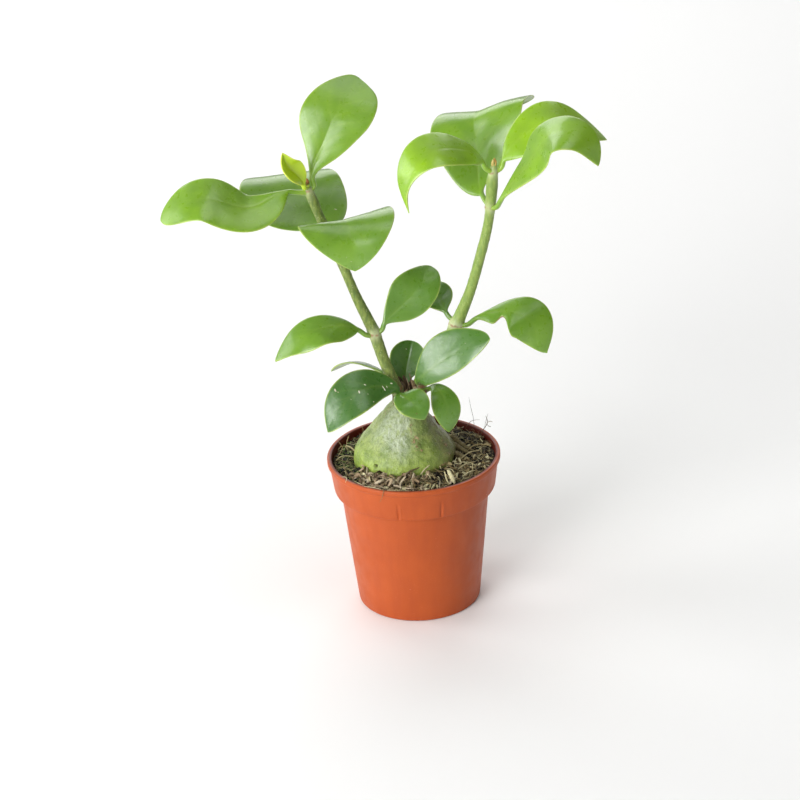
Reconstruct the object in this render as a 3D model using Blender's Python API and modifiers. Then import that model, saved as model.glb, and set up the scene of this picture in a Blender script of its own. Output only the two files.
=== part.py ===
"""Potted ant plant: a swollen caudex with two stems and nineteen leathery leaves in a small nursery pot.

Metres, +Z up, +Y to the back. The origin is the middle of the pot's underside.
"""
import math

import bmesh
import bpy
import numpy as np
from mathutils import Vector, noise

MM = 0.001
GAP = 0.3 * MM

# Pot, a 7 cm nursery pot
POT_HEIGHT = 64 * MM
RIM_RADIUS = 35.2 * MM
RIM_DEPTH = 2.2 * MM
COLLAR_TOP_RADIUS = 34.4 * MM
COLLAR_FOOT_RADIUS = 32.8 * MM
COLLAR_FOOT = 50.2 * MM
COLLAR_STEP = 1.2 * MM
BODY_TOP_RADIUS = 30.3 * MM
FOOT_RADIUS = 25.0 * MM
POT_WALL = 1.1 * MM
RIM_ROUND = 0.5 * MM
COLLAR_ROUND = 0.3 * MM
FOOT_ROUND = 0.6 * MM
FLOOR_THICKNESS = 1.5 * MM
DRAIN_HOLES = 6
DRAIN_RADIUS = 3.0 * MM
DRAIN_CIRCLE = 18.5 * MM
TURN_STEPS = 48

# Soil
SOIL_LEVEL = 61.0 * MM
SOIL_RELIEF = 1.1 * MM
SOIL_RINGS = 9
SOIL_GRAIN = 5.5 * MM

# Caudex: height above the pot's underside, half width, and how far its axis lies to the right
CAUDEX_PROFILE = (
    (45.0, 3.0, -4.0),
    (49.0, 10.0, -4.0),
    (55.0, 16.6, -4.0),
    (60.0, 19.8, -3.8),
    (64.5, 20.8, -3.7),
    (68.6, 19.2, -3.8),
    (72.5, 16.3, -4.1),
    (77.0, 12.8, -3.8),
    (81.5, 9.8, -3.0),
    (85.5, 7.5, -1.9),
    (88.2, 5.6, -0.8),
)
CAUDEX_SEGMENTS = 32
CAUDEX_RINGS = 22
CAUDEX_DEPTH = 0.94
# Lobes round the caudex: how many, how high as a share of its half width, and where they start
CAUDEX_LOBES = ((3, 0.022, 0.6), (5, 0.014, -1.0))
LOBE_FADE = 6 * MM
CAUDEX_CLEARANCE = 1.5 * GAP

# Stem centre lines and thicknesses: x, y, z and radius
STEM_LEFT = (
    (-3.8, -0.8, 88.7, 2.6),
    (-5.2, -0.9, 92.4, 2.5),
    (-6.8, -1.0, 97.0, 2.4),
    (-10.5, -1.0, 108.0, 2.3),
    (-13.2, -1.0, 118.0, 2.4),
    (-18.9, -2.0, 133.0, 2.0),
    (-23.2, -3.0, 146.0, 1.9),
    (-27.6, -3.0, 158.5, 2.1),
    (-32.5, -3.0, 171.0, 1.8),
    (-35.6, -3.0, 180.2, 1.6),
    (-36.5, -3.2, 182.6, 1.1),
)
STEM_RIGHT = (
    (2.4, 2.0, 88.6, 2.8),
    (3.2, 2.8, 91.2, 2.8),
    (4.4, 3.6, 93.8, 2.8),
    (10.5, 5.0, 102.0, 2.8),
    (16.5, 5.0, 111.0, 2.8),
    (19.8, 5.0, 118.2, 2.6),
    (25.2, 4.0, 131.5, 2.1),
    (30.0, 2.4, 148.0, 2.0),
    (33.2, 1.8, 160.5, 1.9),
    (34.4, 1.2, 168.5, 2.0),
    (36.0, 0.2, 183.6, 1.6),
    (36.4, 0.0, 186.2, 0.9),
)
STEM_POINTS = 26

# Leaves: stalk and blade. Lengths in the table of leaves, STALK and FOOT_CLEARANCE are millimetres.
STALK = 1.05
STALK_RADIUS = STALK * MM
STALK_TAPER = 0.75
FOOT_CLEARANCE = 0.7
BLADE_THICKNESS = 0.95 * MM
# The stalk flattens into the blade over this share of the blade's length, at this rate
FLATTENING_LENGTH = 0.22
FLATTENING_RATE = 0.7
TIP_THINNING = 0.12
RIB_HEIGHT = 0.35 * MM
RIB_WIDTH = 0.14
STALK_ROUNDING = 0.5
MARGIN_ROUNDING = 0.27
FLAT_MARGIN = (0.0, 0.0, 0.0)
NO_NOTCH = (0.5, 0.0, 0.1)

# Leaves: rows along the blade, and columns across it from the left margin to the right one
COLUMNS = (-1.0, -0.93, -0.62, -0.3, 0.0, 0.3, 0.62, 0.93, 1.0)
LARGE_STATIONS = 17
SMALL_STATIONS = 12
LARGE_WIDTH = 16.0


def side(half, widest=0.55, base=1.0, tip=0.6, fold=0.0, curl=0.0, wave=FLAT_MARGIN, notch=NO_NOTCH):
    """One half of a blade, to the left or right of its midrib.

    half is its width, and widest the place of that width. base and tip say how slowly it widens and
    narrows. fold tilts it up at the midrib, and curl bends it up towards its margin, in degrees.
    wave lifts the margin: its height, its number of waves and their start. notch is a bite: its place,
    its depth as a share of the width, and its length.
    """
    return {"half": half, "widest": widest, "base": base, "tip": tip, "fold": fold, "curl": curl,
            "wave": wave, "notch": notch}


def leaf(node, route, faces, left, right, stalk=0.08, tone="dark"):
    """One leaf: the stem and row it grows from, the route of its midrib, and where its upper side looks.

    faces holds azimuth and elevation pairs in degrees, spread evenly from stalk to tip. left and right
    are the halves of the blade, seen from above with the tip ahead. stalk is the bare share of the length.
    """
    return {"node": node, "route": route, "faces": faces, "left": left, "right": right,
            "stalk": stalk, "tone": tone}


LEAVES = {
    "leaf_left_top": leaf(
        (STEM_LEFT, 9),
        ((-34.0, -2.0, 185.0), (-30.0, 1.0, 196.2), (-23.3, 6.0, 207.9), (-11.4, 14.0, 216.6)),
        ((-95, 15), (-85, 25), (-80, 50)),
        left=side(13.2, 0.58, 1.6, 0.27, fold=8, curl=-16),
        right=side(13.3, 0.68, 0.6, 0.3, fold=8, curl=-16),
        stalk=0.06, tone="bright"),
    "leaf_left_young": leaf(
        (STEM_LEFT, 10),
        ((-38.5, -6.5, 186.5), (-43.0, -8.5, 192.8), (-44.5, -9.5, 198.6)),
        ((-70, 35), (-70, 35)),
        left=side(5.5, 0.5, tip=0.8, fold=35),
        right=side(5.2, 0.5, tip=0.8, fold=35),
        tone="young"),
    "leaf_left_side": leaf(
        (STEM_LEFT, 9),
        ((-42.5, -5.0, 181.0), (-58.0, -12.0, 178.0), (-75.0, -14.0, 183.0), (-92.5, -14.0, 175.0)),
        ((-90, 50), (-95, 60), (-110, 65)),
        left=side(11.2, 0.45, 0.7, 0.45, curl=-15),
        right=side(10.8, 0.62, 0.8, 0.6),
        stalk=0.10, tone="bright"),
    "leaf_left_back": leaf(
        (STEM_LEFT, 7),
        ((-31.0, 6.0, 162.0), (-39.5, 18.0, 172.0), (-44.0, 30.0, 175.0), (-48.0, 44.0, 163.5)),
        ((-90, 45), (-92, 70), (90, 50)),
        left=side(23.0, 0.48, 0.75, 0.5),
        right=side(17.4, 0.42, 0.5, 0.55),
        tone="bright"),
    "leaf_left_front": leaf(
        (STEM_LEFT, 7),
        ((-25.0, -9.0, 166.0), (-22.0, -15.0, 171.8), (-20.0, -22.0, 167.5), (-19.0, -25.0, 155.0)),
        ((90, 40), (-92, 82), (-90, 10)),
        left=side(19.6, 0.37, tip=1.1, fold=6),
        right=side(19.5, 0.36, tip=1.05, fold=3),
        tone="bright"),
    "leaf_left_mid_outer": leaf(
        (STEM_LEFT, 4),
        ((-17.5, -4.0, 119.5), (-27.5, -8.0, 125.0), (-40.0, -11.0, 123.0), (-52.5, -12.0, 113.0)),
        ((-90, 55), (-100, 60), (-130, 50)),
        left=side(8.0, 0.42, 0.7, 0.85, curl=-10, wave=(0.7, 2.2, 0.37)),
        right=side(7.6, 0.5, tip=0.7, fold=-3),
        stalk=0.14),
    "leaf_left_mid_inner": leaf(
        (STEM_LEFT, 4),
        ((-9.5, -2.0, 121.5), (-2.0, 0.0, 129.0), (5.5, 3.0, 136.0), (10.5, 9.0, 141.5)),
        ((-80, 25), (-80, 30), (-80, 50)),
        left=side(9.2, 0.53, 1.05, 0.6, fold=8),
        right=side(8.6, 0.58, 0.65, 0.40, fold=4, curl=-10),
        stalk=0.10),
    "leaf_right_arching": leaf(
        (STEM_RIGHT, 10),
        ((31.5, -2.0, 188.5), (20.0, -8.0, 196.3), (8.8, -13.0, 195.5), (2.3, -16.0, 186.0),
         (2.5, -17.0, 174.5)),
        ((-90, 60), (-100, 65), (-150, 30)),
        left=side(8.8, 0.38, 0.8, 2.3, curl=-10),
        right=side(10.3, 0.45, 1.3, 1.15),
        tone="bright"),
    "leaf_right_back": leaf(
        (STEM_RIGHT, 9),
        ((31.0, 9.0, 172.5), (30.5, 17.0, 184.6), (30.5, 28.0, 196.6), (41.0, 43.0, 191.0)),
        ((-100, 10), (-118, 25), (163, 62)),
        left=side(18.6, 0.58, 0.8, 0.5, fold=9),
        right=side(22.0, 0.64, tip=0.15, fold=8),
        tone="bright"),
    "leaf_right_far": leaf(
        (STEM_RIGHT, 10),
        ((40.5, 0.5, 188.6), (49.5, 3.0, 197.4), (60.0, 6.0, 201.4), (71.0, 9.0, 196.8),
         (80.8, 11.0, 190.0)),
        ((-110, 55), (-100, 62), (-90, 78)),
        left=side(10.5, 0.5, tip=0.7),
        right=side(12.5, 0.45, 0.8, 0.8),
        tone="bright"),
    "leaf_right_front": leaf(
        (STEM_RIGHT, 9),
        ((40.0, -6.0, 176.5), (51.0, -14.0, 194.0), (63.5, -20.0, 205.5), (74.5, -24.0, 192.5)),
        ((-100, 60), (-90, 65), (-40, 40)),
        left=side(9.0, 0.55, tip=0.65),
        right=side(12.0, 0.70, 0.8, 1.3, curl=-10),
        tone="bright"),
    "leaf_right_mid_inner": leaf(
        (STEM_RIGHT, 5),
        ((16.0, 8.0, 121.0), (14.0, 11.0, 124.5), (11.5, 16.0, 127.0), (8.0, 22.0, 127.5)),
        ((-80, 20), (-85, 35)),
        left=side(6.5, 0.5, tip=0.5),
        right=side(6.5, 0.5, tip=0.5),
        stalk=0.15),
    "leaf_right_mid_outer": leaf(
        (STEM_RIGHT, 5),
        ((26.5, 2.0, 120.5), (37.0, -3.0, 125.7), (45.2, -7.0, 125.0), (54.4, -10.0, 110.0)),
        ((-90, 60), (-90, 55), (-80, 20)),
        left=side(9.9, 0.60, 1.5, 1.0, curl=-10),
        right=side(9.2, 0.5, 0.7, 0.7, curl=-10, notch=(0.40, 0.75, 0.07)),
        stalk=0.12),
    "leaf_base_left": leaf(
        (STEM_LEFT, 2),
        ((-9.6, -7.0, 97.4), (-18.0, -13.0, 99.5), (-27.0, -18.0, 95.5), (-33.4, -22.0, 85.8)),
        ((-90, 45), (-95, 45), (-130, 30)),
        left=side(8.6, 0.48, 0.6, 0.65),
        right=side(8.9, 0.42, 0.6, 0.9, fold=6),
        stalk=0.04),
    "leaf_base_edge": leaf(
        (STEM_LEFT, 2),
        ((-11.0, 5.0, 98.0), (-17.0, 9.0, 100.0), (-24.0, 11.0, 100.5), (-31.5, 12.0, 96.5)),
        ((90, 65), (90, 65)),
        left=side(6.0, 0.58, tip=0.65),
        right=side(6.0, 0.58, tip=0.65),
        stalk=0.15),
    "leaf_base_back": leaf(
        (STEM_RIGHT, 1),
        ((-1.0, 8.0, 92.5), (-0.5, 12.0, 99.6), (1.5, 16.0, 106.6)),
        ((-90, 10), (-90, 20), (-90, 30)),
        left=side(8.0, 0.62, tip=0.5, fold=25),
        right=side(8.0, 0.62, tip=0.5, fold=25)),
    "leaf_base_right": leaf(
        (STEM_RIGHT, 2),
        ((3.0, -3.5, 97.5), (14.0, -9.0, 109.0), (24.0, -12.0, 115.5), (32.0, -14.0, 119.0)),
        ((-80, 35), (-80, 40), (-80, 45)),
        left=side(10.2, 0.55, 1.8, 0.5),
        right=side(6.8, 0.6, 1.0, 0.65),
        stalk=0.04),
    "leaf_base_front": leaf(
        (STEM_LEFT, 1),
        ((-4.0, -7.5, 93.5), (0.0, -12.5, 92.6), (4.9, -16.0, 86.4)),
        ((-90, 60), (-90, 45), (-90, 25)),
        left=side(6.8, 0.55, 0.8, 0.7, fold=5, curl=-10),
        right=side(6.2, 0.5, 0.8, 0.75, fold=5, curl=-10),
        stalk=0.06),
    "leaf_base_low": leaf(
        (STEM_RIGHT, 1),
        ((10.0, -4.5, 94.5), (13.5, -9.0, 90.0), (14.5, -11.0, 78.0)),
        ((-70, 60), (-70, 30), (-70, 10)),
        left=side(6.0, 0.55, tip=0.75),
        right=side(6.0, 0.55, tip=0.75),
        stalk=0.10),
}


def clear_scene():
    for item in list(bpy.data.objects):
        bpy.data.objects.remove(item, do_unlink=True)


def make_material(name, colour, roughness):
    material = bpy.data.materials.new(name)
    material.use_nodes = True
    shader = material.node_tree.nodes["Principled BSDF"]
    shader.inputs["Base Color"].default_value = (*colour, 1.0)
    shader.inputs["Roughness"].default_value = roughness
    shader.inputs["Metallic"].default_value = 0.0
    return material


def add_object(name, data, collection, material=None):
    item = bpy.data.objects.new(name, data)
    collection.objects.link(item)
    if material:
        data.materials.append(material)
    return item


def bake(source, name, collection, material):
    """Turn an object with modifiers, or a curve, into a plain mesh object and remove the source."""
    depsgraph = bpy.context.evaluated_depsgraph_get()
    mesh = bpy.data.meshes.new_from_object(source.evaluated_get(depsgraph))
    mesh.name = name
    mesh.materials.clear()
    matrix = source.matrix_world.copy()
    bpy.data.objects.remove(source, do_unlink=True)
    item = add_object(name, mesh, collection, material)
    item.matrix_world = matrix
    return item


def turned(name, outline, collection, steps=TURN_STEPS):
    """Turn a closed outline of radius and height pairs round the Z axis. It runs down its outer side."""
    mesh = bpy.data.meshes.new(name)
    points = [(radius, 0.0, height) for radius, height in outline]
    edges = [(index, index + 1) for index in range(len(points) - 1)]
    mesh.from_pydata(points, edges, [])
    item = add_object(name, mesh, collection)
    screw = item.modifiers.new("turn", "SCREW")
    screw.steps = steps
    screw.render_steps = steps
    screw.use_merge_vertices = True
    screw.merge_threshold = 0.00001
    return item


def cut(target, cutter):
    """Subtract a cutter from a mesh object for good, and remove the cutter."""
    tool = target.modifiers.new("cut", "BOOLEAN")
    tool.operation = "DIFFERENCE"
    tool.solver = "EXACT"
    tool.object = cutter
    depsgraph = bpy.context.evaluated_depsgraph_get()
    mesh = bpy.data.meshes.new_from_object(target.evaluated_get(depsgraph))
    target.modifiers.clear()
    target.data = mesh
    bpy.data.objects.remove(cutter, do_unlink=True)


def wall_radius(height):
    """The pot's outer radius at a height below its rim."""
    if height < COLLAR_FOOT:
        share = height / COLLAR_FOOT
        return FOOT_RADIUS + (BODY_TOP_RADIUS - FOOT_RADIUS) * share
    share = (height - COLLAR_FOOT) / (POT_HEIGHT - RIM_DEPTH - COLLAR_FOOT)
    return COLLAR_FOOT_RADIUS + (COLLAR_TOP_RADIUS - COLLAR_FOOT_RADIUS) * share


def inner_outline():
    """The pot's inner wall from its rim down to its floor, as radius and height pairs."""
    lip = COLLAR_TOP_RADIUS - POT_WALL
    return [
        (lip, POT_HEIGHT - RIM_ROUND),
        (COLLAR_FOOT_RADIUS - POT_WALL, COLLAR_FOOT + COLLAR_STEP),
        (BODY_TOP_RADIUS - POT_WALL, COLLAR_FOOT - 0.4 * MM),
        (FOOT_RADIUS - POT_WALL + 0.3 * MM, FLOOR_THICKNESS + 1.0 * MM),
        (FOOT_RADIUS - POT_WALL - 0.7 * MM, FLOOR_THICKNESS),
    ]


def make_pot(collection, material):
    outer = [
        (RIM_RADIUS - RIM_ROUND, POT_HEIGHT),
        (RIM_RADIUS, POT_HEIGHT - RIM_ROUND),
        (RIM_RADIUS, POT_HEIGHT - RIM_DEPTH + COLLAR_ROUND),
        (COLLAR_TOP_RADIUS, POT_HEIGHT - RIM_DEPTH),
        (COLLAR_FOOT_RADIUS, COLLAR_FOOT + COLLAR_ROUND),
        (COLLAR_FOOT_RADIUS - COLLAR_ROUND, COLLAR_FOOT),
        (BODY_TOP_RADIUS, COLLAR_FOOT - 0.2 * MM),
        (FOOT_RADIUS, FOOT_ROUND),
        (FOOT_RADIUS - FOOT_ROUND, 0.0),
        (0.0, 0.0),
    ]
    lip = (COLLAR_TOP_RADIUS - POT_WALL + 0.4 * MM, POT_HEIGHT)
    inner = [(0.0, FLOOR_THICKNESS)] + inner_outline()[::-1]
    pot = turned("pot_turned", outer + inner + [lip] + outer[:1], collection)
    pot = bake(pot, "pot", collection, material)
    close_and_weld(pot)
    for index in range(DRAIN_HOLES):
        angle = 2 * math.pi * (index + 0.5) / DRAIN_HOLES
        bpy.ops.mesh.primitive_cylinder_add(
            vertices=16, radius=DRAIN_RADIUS, depth=6 * MM,
            location=(DRAIN_CIRCLE * math.cos(angle), DRAIN_CIRCLE * math.sin(angle), FLOOR_THICKNESS / 2))
        cut(pot, bpy.context.object)
    smooth(pot)
    return pot


def close_and_weld(item):
    work = bmesh.new()
    work.from_mesh(item.data)
    bmesh.ops.remove_doubles(work, verts=work.verts, dist=0.001 * MM)
    bmesh.ops.dissolve_degenerate(work, edges=work.edges, dist=0.001 * MM)
    bmesh.ops.recalc_face_normals(work, faces=work.faces)
    work.to_mesh(item.data)
    work.free()


def smooth(item, angle=40.0):
    item.data.shade_smooth()
    item.data.set_sharp_from_angle(angle=math.radians(angle))


def caudex_at(height):
    """Half width and axis of the caudex at a height, on the smooth curve through its profile."""
    rows = np.array(CAUDEX_PROFILE) * MM
    curve = natural_spline(rows, 200)
    half = float(np.interp(height, curve[:, 0], curve[:, 1]))
    axis = float(np.interp(height, curve[:, 0], curve[:, 2]))
    return half, axis


def caudex_mesh(name, grow):
    """A sphere's rings moved onto the caudex's profile, with soft lobes that fade out below the soil."""
    mesh = bpy.data.meshes.new(name)
    work = bmesh.new()
    bmesh.ops.create_uvsphere(work, u_segments=CAUDEX_SEGMENTS, v_segments=CAUDEX_RINGS, radius=1.0)
    foot = CAUDEX_PROFILE[0][0] * MM
    top = CAUDEX_PROFILE[-1][0] * MM
    for vert in work.verts:
        share = 0.5 - math.asin(max(-1.0, min(1.0, -vert.co.z))) / math.pi
        height = foot + (top - foot) * share
        around = math.atan2(vert.co.y, vert.co.x)
        flat = math.hypot(vert.co.x, vert.co.y)
        half, axis = caudex_at(height)
        above = max(0.0, min(1.0, (height - SOIL_LEVEL) / LOBE_FADE))
        lobes = sum(share * math.cos(count * around + start) for count, share, start in CAUDEX_LOBES)
        radius = half * (1 + above * lobes) if flat > 1e-4 else 0.0
        aside, back = radius * math.cos(around), CAUDEX_DEPTH * radius * math.sin(around)
        vert.co = Vector((axis + aside, back, height))
    work.normal_update()
    for vert in work.verts:
        vert.co += vert.normal * grow
    work.to_mesh(mesh)
    work.free()
    return mesh


def make_caudex(collection, material):
    caudex = add_object("caudex", caudex_mesh("caudex", 0.0), collection, material)
    smooth(caudex, 60.0)
    return caudex


def make_soil(collection, material):
    """The fill of the pot: turned, its top raised and lowered by noise, with a hole for the caudex."""
    side = [(radius - GAP, height + GAP) for radius, height in inner_outline()[1:]]
    wall = wall_radius(SOIL_LEVEL) - POT_WALL - 2 * GAP
    top = [(wall * (index + 1) / SOIL_RINGS, SOIL_LEVEL) for index in range(SOIL_RINGS)]
    outline = [(0.0, SOIL_LEVEL)] + top + side + [(0.0, FLOOR_THICKNESS + GAP)]
    soil = turned("soil_turned", outline, collection)
    soil = bake(soil, "soil", collection, material)
    close_and_weld(soil)
    for vert in soil.data.vertices:
        if vert.co.z > SOIL_LEVEL - 0.1 * MM:
            bump = noise.noise(Vector((vert.co.x, vert.co.y, 0.0)) / SOIL_GRAIN)
            vert.co.z += SOIL_RELIEF * bump
    cutter = add_object("caudex_hole", caudex_mesh("caudex_hole", CAUDEX_CLEARANCE), collection)
    cut(soil, cutter)
    smooth(soil, 30.0)
    return soil


def natural_spline(points, count):
    """Points spread evenly along the natural cubic curve through the given points."""
    points = np.asarray(points, dtype=float)
    steps = np.linalg.norm(np.diff(points, axis=0), axis=1)
    knots = np.concatenate([[0.0], np.cumsum(steps)])
    size = len(points)
    matrix = np.eye(size)
    right = np.zeros_like(points)
    for i in range(1, size - 1):
        before, after = steps[i - 1], steps[i]
        matrix[i, i - 1:i + 2] = before, 2 * (before + after), after
        right[i] = 6 * ((points[i + 1] - points[i]) / after - (points[i] - points[i - 1]) / before)
    bend = np.linalg.solve(matrix, right)
    where = np.linspace(0.0, knots[-1], 400)
    span = np.clip(np.searchsorted(knots, where, side="right") - 1, 0, size - 2)
    length = steps[span][:, None]
    low = ((knots[span + 1] - where)[:, None]) / length
    high = ((where - knots[span])[:, None]) / length
    curve = low * points[span] + high * points[span + 1]
    curve += ((low ** 3 - low) * bend[span] + (high ** 3 - high) * bend[span + 1]) * length ** 2 / 6
    run = np.concatenate([[0.0], np.cumsum(np.linalg.norm(np.diff(curve, axis=0), axis=1))])
    even = np.linspace(0.0, run[-1], count)
    return np.stack([np.interp(even, run, curve[:, axis]) for axis in range(curve.shape[1])], axis=1)


def make_stem(name, points, collection, material):
    """A stem is a bevelled curve along its centre line, with the thickness its points give."""
    path = natural_spline(np.array(points) * MM, STEM_POINTS)
    curve = bpy.data.curves.new(name, "CURVE")
    curve.dimensions = "3D"
    curve.bevel_depth = 1.0
    curve.bevel_resolution = 2
    curve.use_fill_caps = True
    spline = curve.splines.new("POLY")
    spline.points.add(len(path) - 1)
    for point, (x, y, z, radius) in zip(spline.points, path):
        point.co = (x, y, z, 1.0)
        point.radius = radius
    return add_object(name, curve, collection, material)


def direction(azimuth, elevation):
    turn = math.radians(azimuth)
    rise = math.radians(elevation)
    return np.array([math.cos(rise) * math.cos(turn), math.cos(rise) * math.sin(turn), math.sin(rise)])


def leaf_foot(shape):
    """Where the stalk starts: beside the stem, square to its axis, just clear of its bark."""
    stem, row = shape["node"]
    rows = np.array(stem)
    last = len(rows) - 1
    axis = rows[min(row + 1, last), :3] - rows[max(row - 1, 0), :3]
    axis /= np.linalg.norm(axis)
    outward = np.array(shape["route"][0]) - rows[row, :3]
    steep = abs(outward @ axis) / np.linalg.norm(outward)
    outward -= axis * (outward @ axis)
    outward /= np.linalg.norm(outward)
    return (rows[row, :3] + outward * (rows[row, 3] + FOOT_CLEARANCE + STALK * steep)) * MM


def leaf_frame(shape, shares):
    """The midrib's points and its along, up and side directions at the given shares of its length."""
    fine = natural_spline(np.vstack([leaf_foot(shape), np.array(shape["route"]) * MM]), 129)
    place = np.linspace(0.0, 1.0, len(fine))
    points = np.stack([np.interp(shares, place, fine[:, axis]) for axis in range(3)], axis=1)
    slope = np.gradient(fine, axis=0)
    along = np.stack([np.interp(shares, place, slope[:, axis]) for axis in range(3)], axis=1)
    along /= np.linalg.norm(along, axis=1)[:, None]
    looks = np.array([direction(*pair) for pair in shape["faces"]])
    spread = np.linspace(0.0, 1.0, len(looks))
    up = np.stack([np.interp(shares, spread, looks[:, axis]) for axis in range(3)], axis=1)
    up -= along * np.sum(up * along, axis=1)[:, None]
    up /= np.linalg.norm(up, axis=1)[:, None]
    return points, along, up, np.cross(along, up)


def half_width(half, blade):
    """Width of one half of a blade at shares of its length."""
    power = math.log(0.5) / math.log(half["widest"])
    fullness = half["base"] * (1 - blade) + half["tip"] * blade
    width = half["half"] * MM * np.sin(np.pi * blade ** power) ** fullness
    place, depth, length = half["notch"]
    return width * (1 - depth * np.exp(-((blade - place) / length) ** 2))


def leaf_sections(shape, shares, columns):
    """Upper and lower surface points of a leaf, station by station and column by column."""
    points, _, up, across = leaf_frame(shape, shares)
    blade = np.clip((shares - shape["stalk"]) / (1 - shape["stalk"]), 0.0, 1.0)
    stalk = STALK_RADIUS * (1 - STALK_TAPER * shares)
    flat = np.clip(blade / FLATTENING_LENGTH, 0.0, 1.0) ** FLATTENING_RATE
    thick = 2 * STALK_RADIUS * (1 - flat) + BLADE_THICKNESS * flat
    thick *= np.sqrt(np.clip(1 - blade ** 12, TIP_THINNING, 1.0))
    rounding = STALK_ROUNDING + (MARGIN_ROUNDING - STALK_ROUNDING) * flat
    upper = np.zeros((len(shares), len(columns), 3))
    lower = np.zeros_like(upper)
    for index, x in enumerate(columns):
        half = shape["left"] if x < 0 else shape["right"]
        out = abs(x)
        reach = out * np.sqrt(half_width(half, blade) ** 2 + stalk ** 2)
        lean = np.radians(half["fold"] + half["curl"] * out / 2) * flat
        height, waves, start = half["wave"]
        ripple = height * MM * out ** 2 * flat * np.sin(2 * np.pi * (waves * blade + start))
        rise = reach * np.sin(lean) + ripple
        middle = points + across * (np.sign(x) * reach * np.cos(lean))[:, None] + up * rise[:, None]
        turn = np.radians(half["fold"] + half["curl"] * out) * flat
        tilt = up * np.cos(turn)[:, None] - across * (np.sign(x) * np.sin(turn))[:, None]
        depth = 0.5 * thick * (1 - x * x) ** rounding
        rib = RIB_HEIGHT * math.exp(-(x / RIB_WIDTH) ** 2) * flat * (1 - blade)
        upper[:, index] = middle + tilt * depth[:, None]
        lower[:, index] = middle - tilt * (depth + rib)[:, None]
    return upper, lower


def make_leaf(name, shape, collection, material):
    """A leaf is a closed loft from a round stalk to a flat blade, split alike on both faces."""
    large = shape["left"]["half"] + shape["right"]["half"] >= LARGE_WIDTH
    stations = LARGE_STATIONS if large else SMALL_STATIONS
    columns = COLUMNS if large else COLUMNS[0:1] + COLUMNS[1:-1:2] + COLUMNS[-1:]
    even = np.linspace(0.0, 1.0, stations)
    shares = (1 - np.cos(np.pi * even)) / 2
    upper, lower = leaf_sections(shape, shares, columns)
    last = len(columns) - 1
    work = bmesh.new()
    top = [[work.verts.new(point) for point in row] for row in upper]
    bottom = [[work.verts.new(point) for point in row[1:last]] for row in lower]
    under = [[row[0]] + low + [row[last]] for row, low in zip(top, bottom)]
    for i in range(stations - 1):
        for j in range(last):
            work.faces.new((top[i][j], top[i + 1][j], top[i + 1][j + 1]))
            work.faces.new((top[i][j], top[i + 1][j + 1], top[i][j + 1]))
            work.faces.new((under[i][j], under[i + 1][j + 1], under[i + 1][j]))
            work.faces.new((under[i][j], under[i][j + 1], under[i + 1][j + 1]))
    for i in (0, stations - 1):
        work.faces.new(top[i] + under[i][last - 1:0:-1])
    bmesh.ops.recalc_face_normals(work, faces=work.faces)
    mesh = bpy.data.meshes.new(name)
    work.to_mesh(mesh)
    work.free()
    item = add_object(name, mesh, collection, material)
    smooth(item, 60.0)
    return item


def main():
    clear_scene()
    collection = bpy.data.collections.new("potted_ant_plant")
    bpy.context.scene.collection.children.link(collection)
    terracotta = make_material("terracotta_plastic", (0.75, 0.17, 0.05), 0.42)
    peat = make_material("potting_soil", (0.035, 0.022, 0.014), 0.95)
    skin = make_material("caudex_skin", (0.33, 0.37, 0.18), 0.6)
    bark = make_material("stem_bark", (0.36, 0.42, 0.17), 0.6)
    tones = {
        "young": make_material("leaf_young", (0.42, 0.52, 0.03), 0.35),
        "bright": make_material("leaf_bright", (0.27, 0.46, 0.06), 0.32),
        "dark": make_material("leaf_dark", (0.10, 0.24, 0.05), 0.3),
    }
    make_pot(collection, terracotta)
    make_soil(collection, peat)
    make_caudex(collection, skin)
    make_stem("stem_left", STEM_LEFT, collection, bark)
    make_stem("stem_right", STEM_RIGHT, collection, bark)
    for name, shape in LEAVES.items():
        make_leaf(name, shape, collection, tones[shape["tone"]])


main()
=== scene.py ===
"""Looks of the potted ant plant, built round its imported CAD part.

Metres, +Z up, +Y to the back, with the origin in the middle of the pot's underside, as in the part.
The tables of the stems and leaves are the part's, in millimetres and degrees, with small refinements.
"""
import math

import bmesh
import bpy
import numpy as np
from mathutils import Matrix, Vector, noise


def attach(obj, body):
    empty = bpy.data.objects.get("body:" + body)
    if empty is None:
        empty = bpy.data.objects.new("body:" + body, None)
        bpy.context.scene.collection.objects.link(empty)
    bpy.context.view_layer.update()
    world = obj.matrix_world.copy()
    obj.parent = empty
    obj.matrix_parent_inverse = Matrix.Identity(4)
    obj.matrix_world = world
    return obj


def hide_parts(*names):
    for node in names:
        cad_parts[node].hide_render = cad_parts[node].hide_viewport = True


MM = 0.001
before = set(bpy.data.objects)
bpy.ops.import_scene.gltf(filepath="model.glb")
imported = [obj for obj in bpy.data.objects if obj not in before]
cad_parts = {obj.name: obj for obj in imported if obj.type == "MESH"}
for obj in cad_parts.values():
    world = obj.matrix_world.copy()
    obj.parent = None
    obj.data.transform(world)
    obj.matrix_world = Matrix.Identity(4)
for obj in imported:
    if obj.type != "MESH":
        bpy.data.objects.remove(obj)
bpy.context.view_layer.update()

# Camera: the photograph's view, as a camera fitted to the pot and the leaves
PHOTO_SIZE = 800
FOCAL_PIXELS = 2717
CAMERA_DROP = 25.2
CAMERA_ROLL = 2.8
CAMERA_DISTANCE = 1.1
TARGET = (0.0, 0.0, 0.064)
TARGET_PIXEL = (413.4, 452.9)
SENSOR = 36.0

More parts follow.
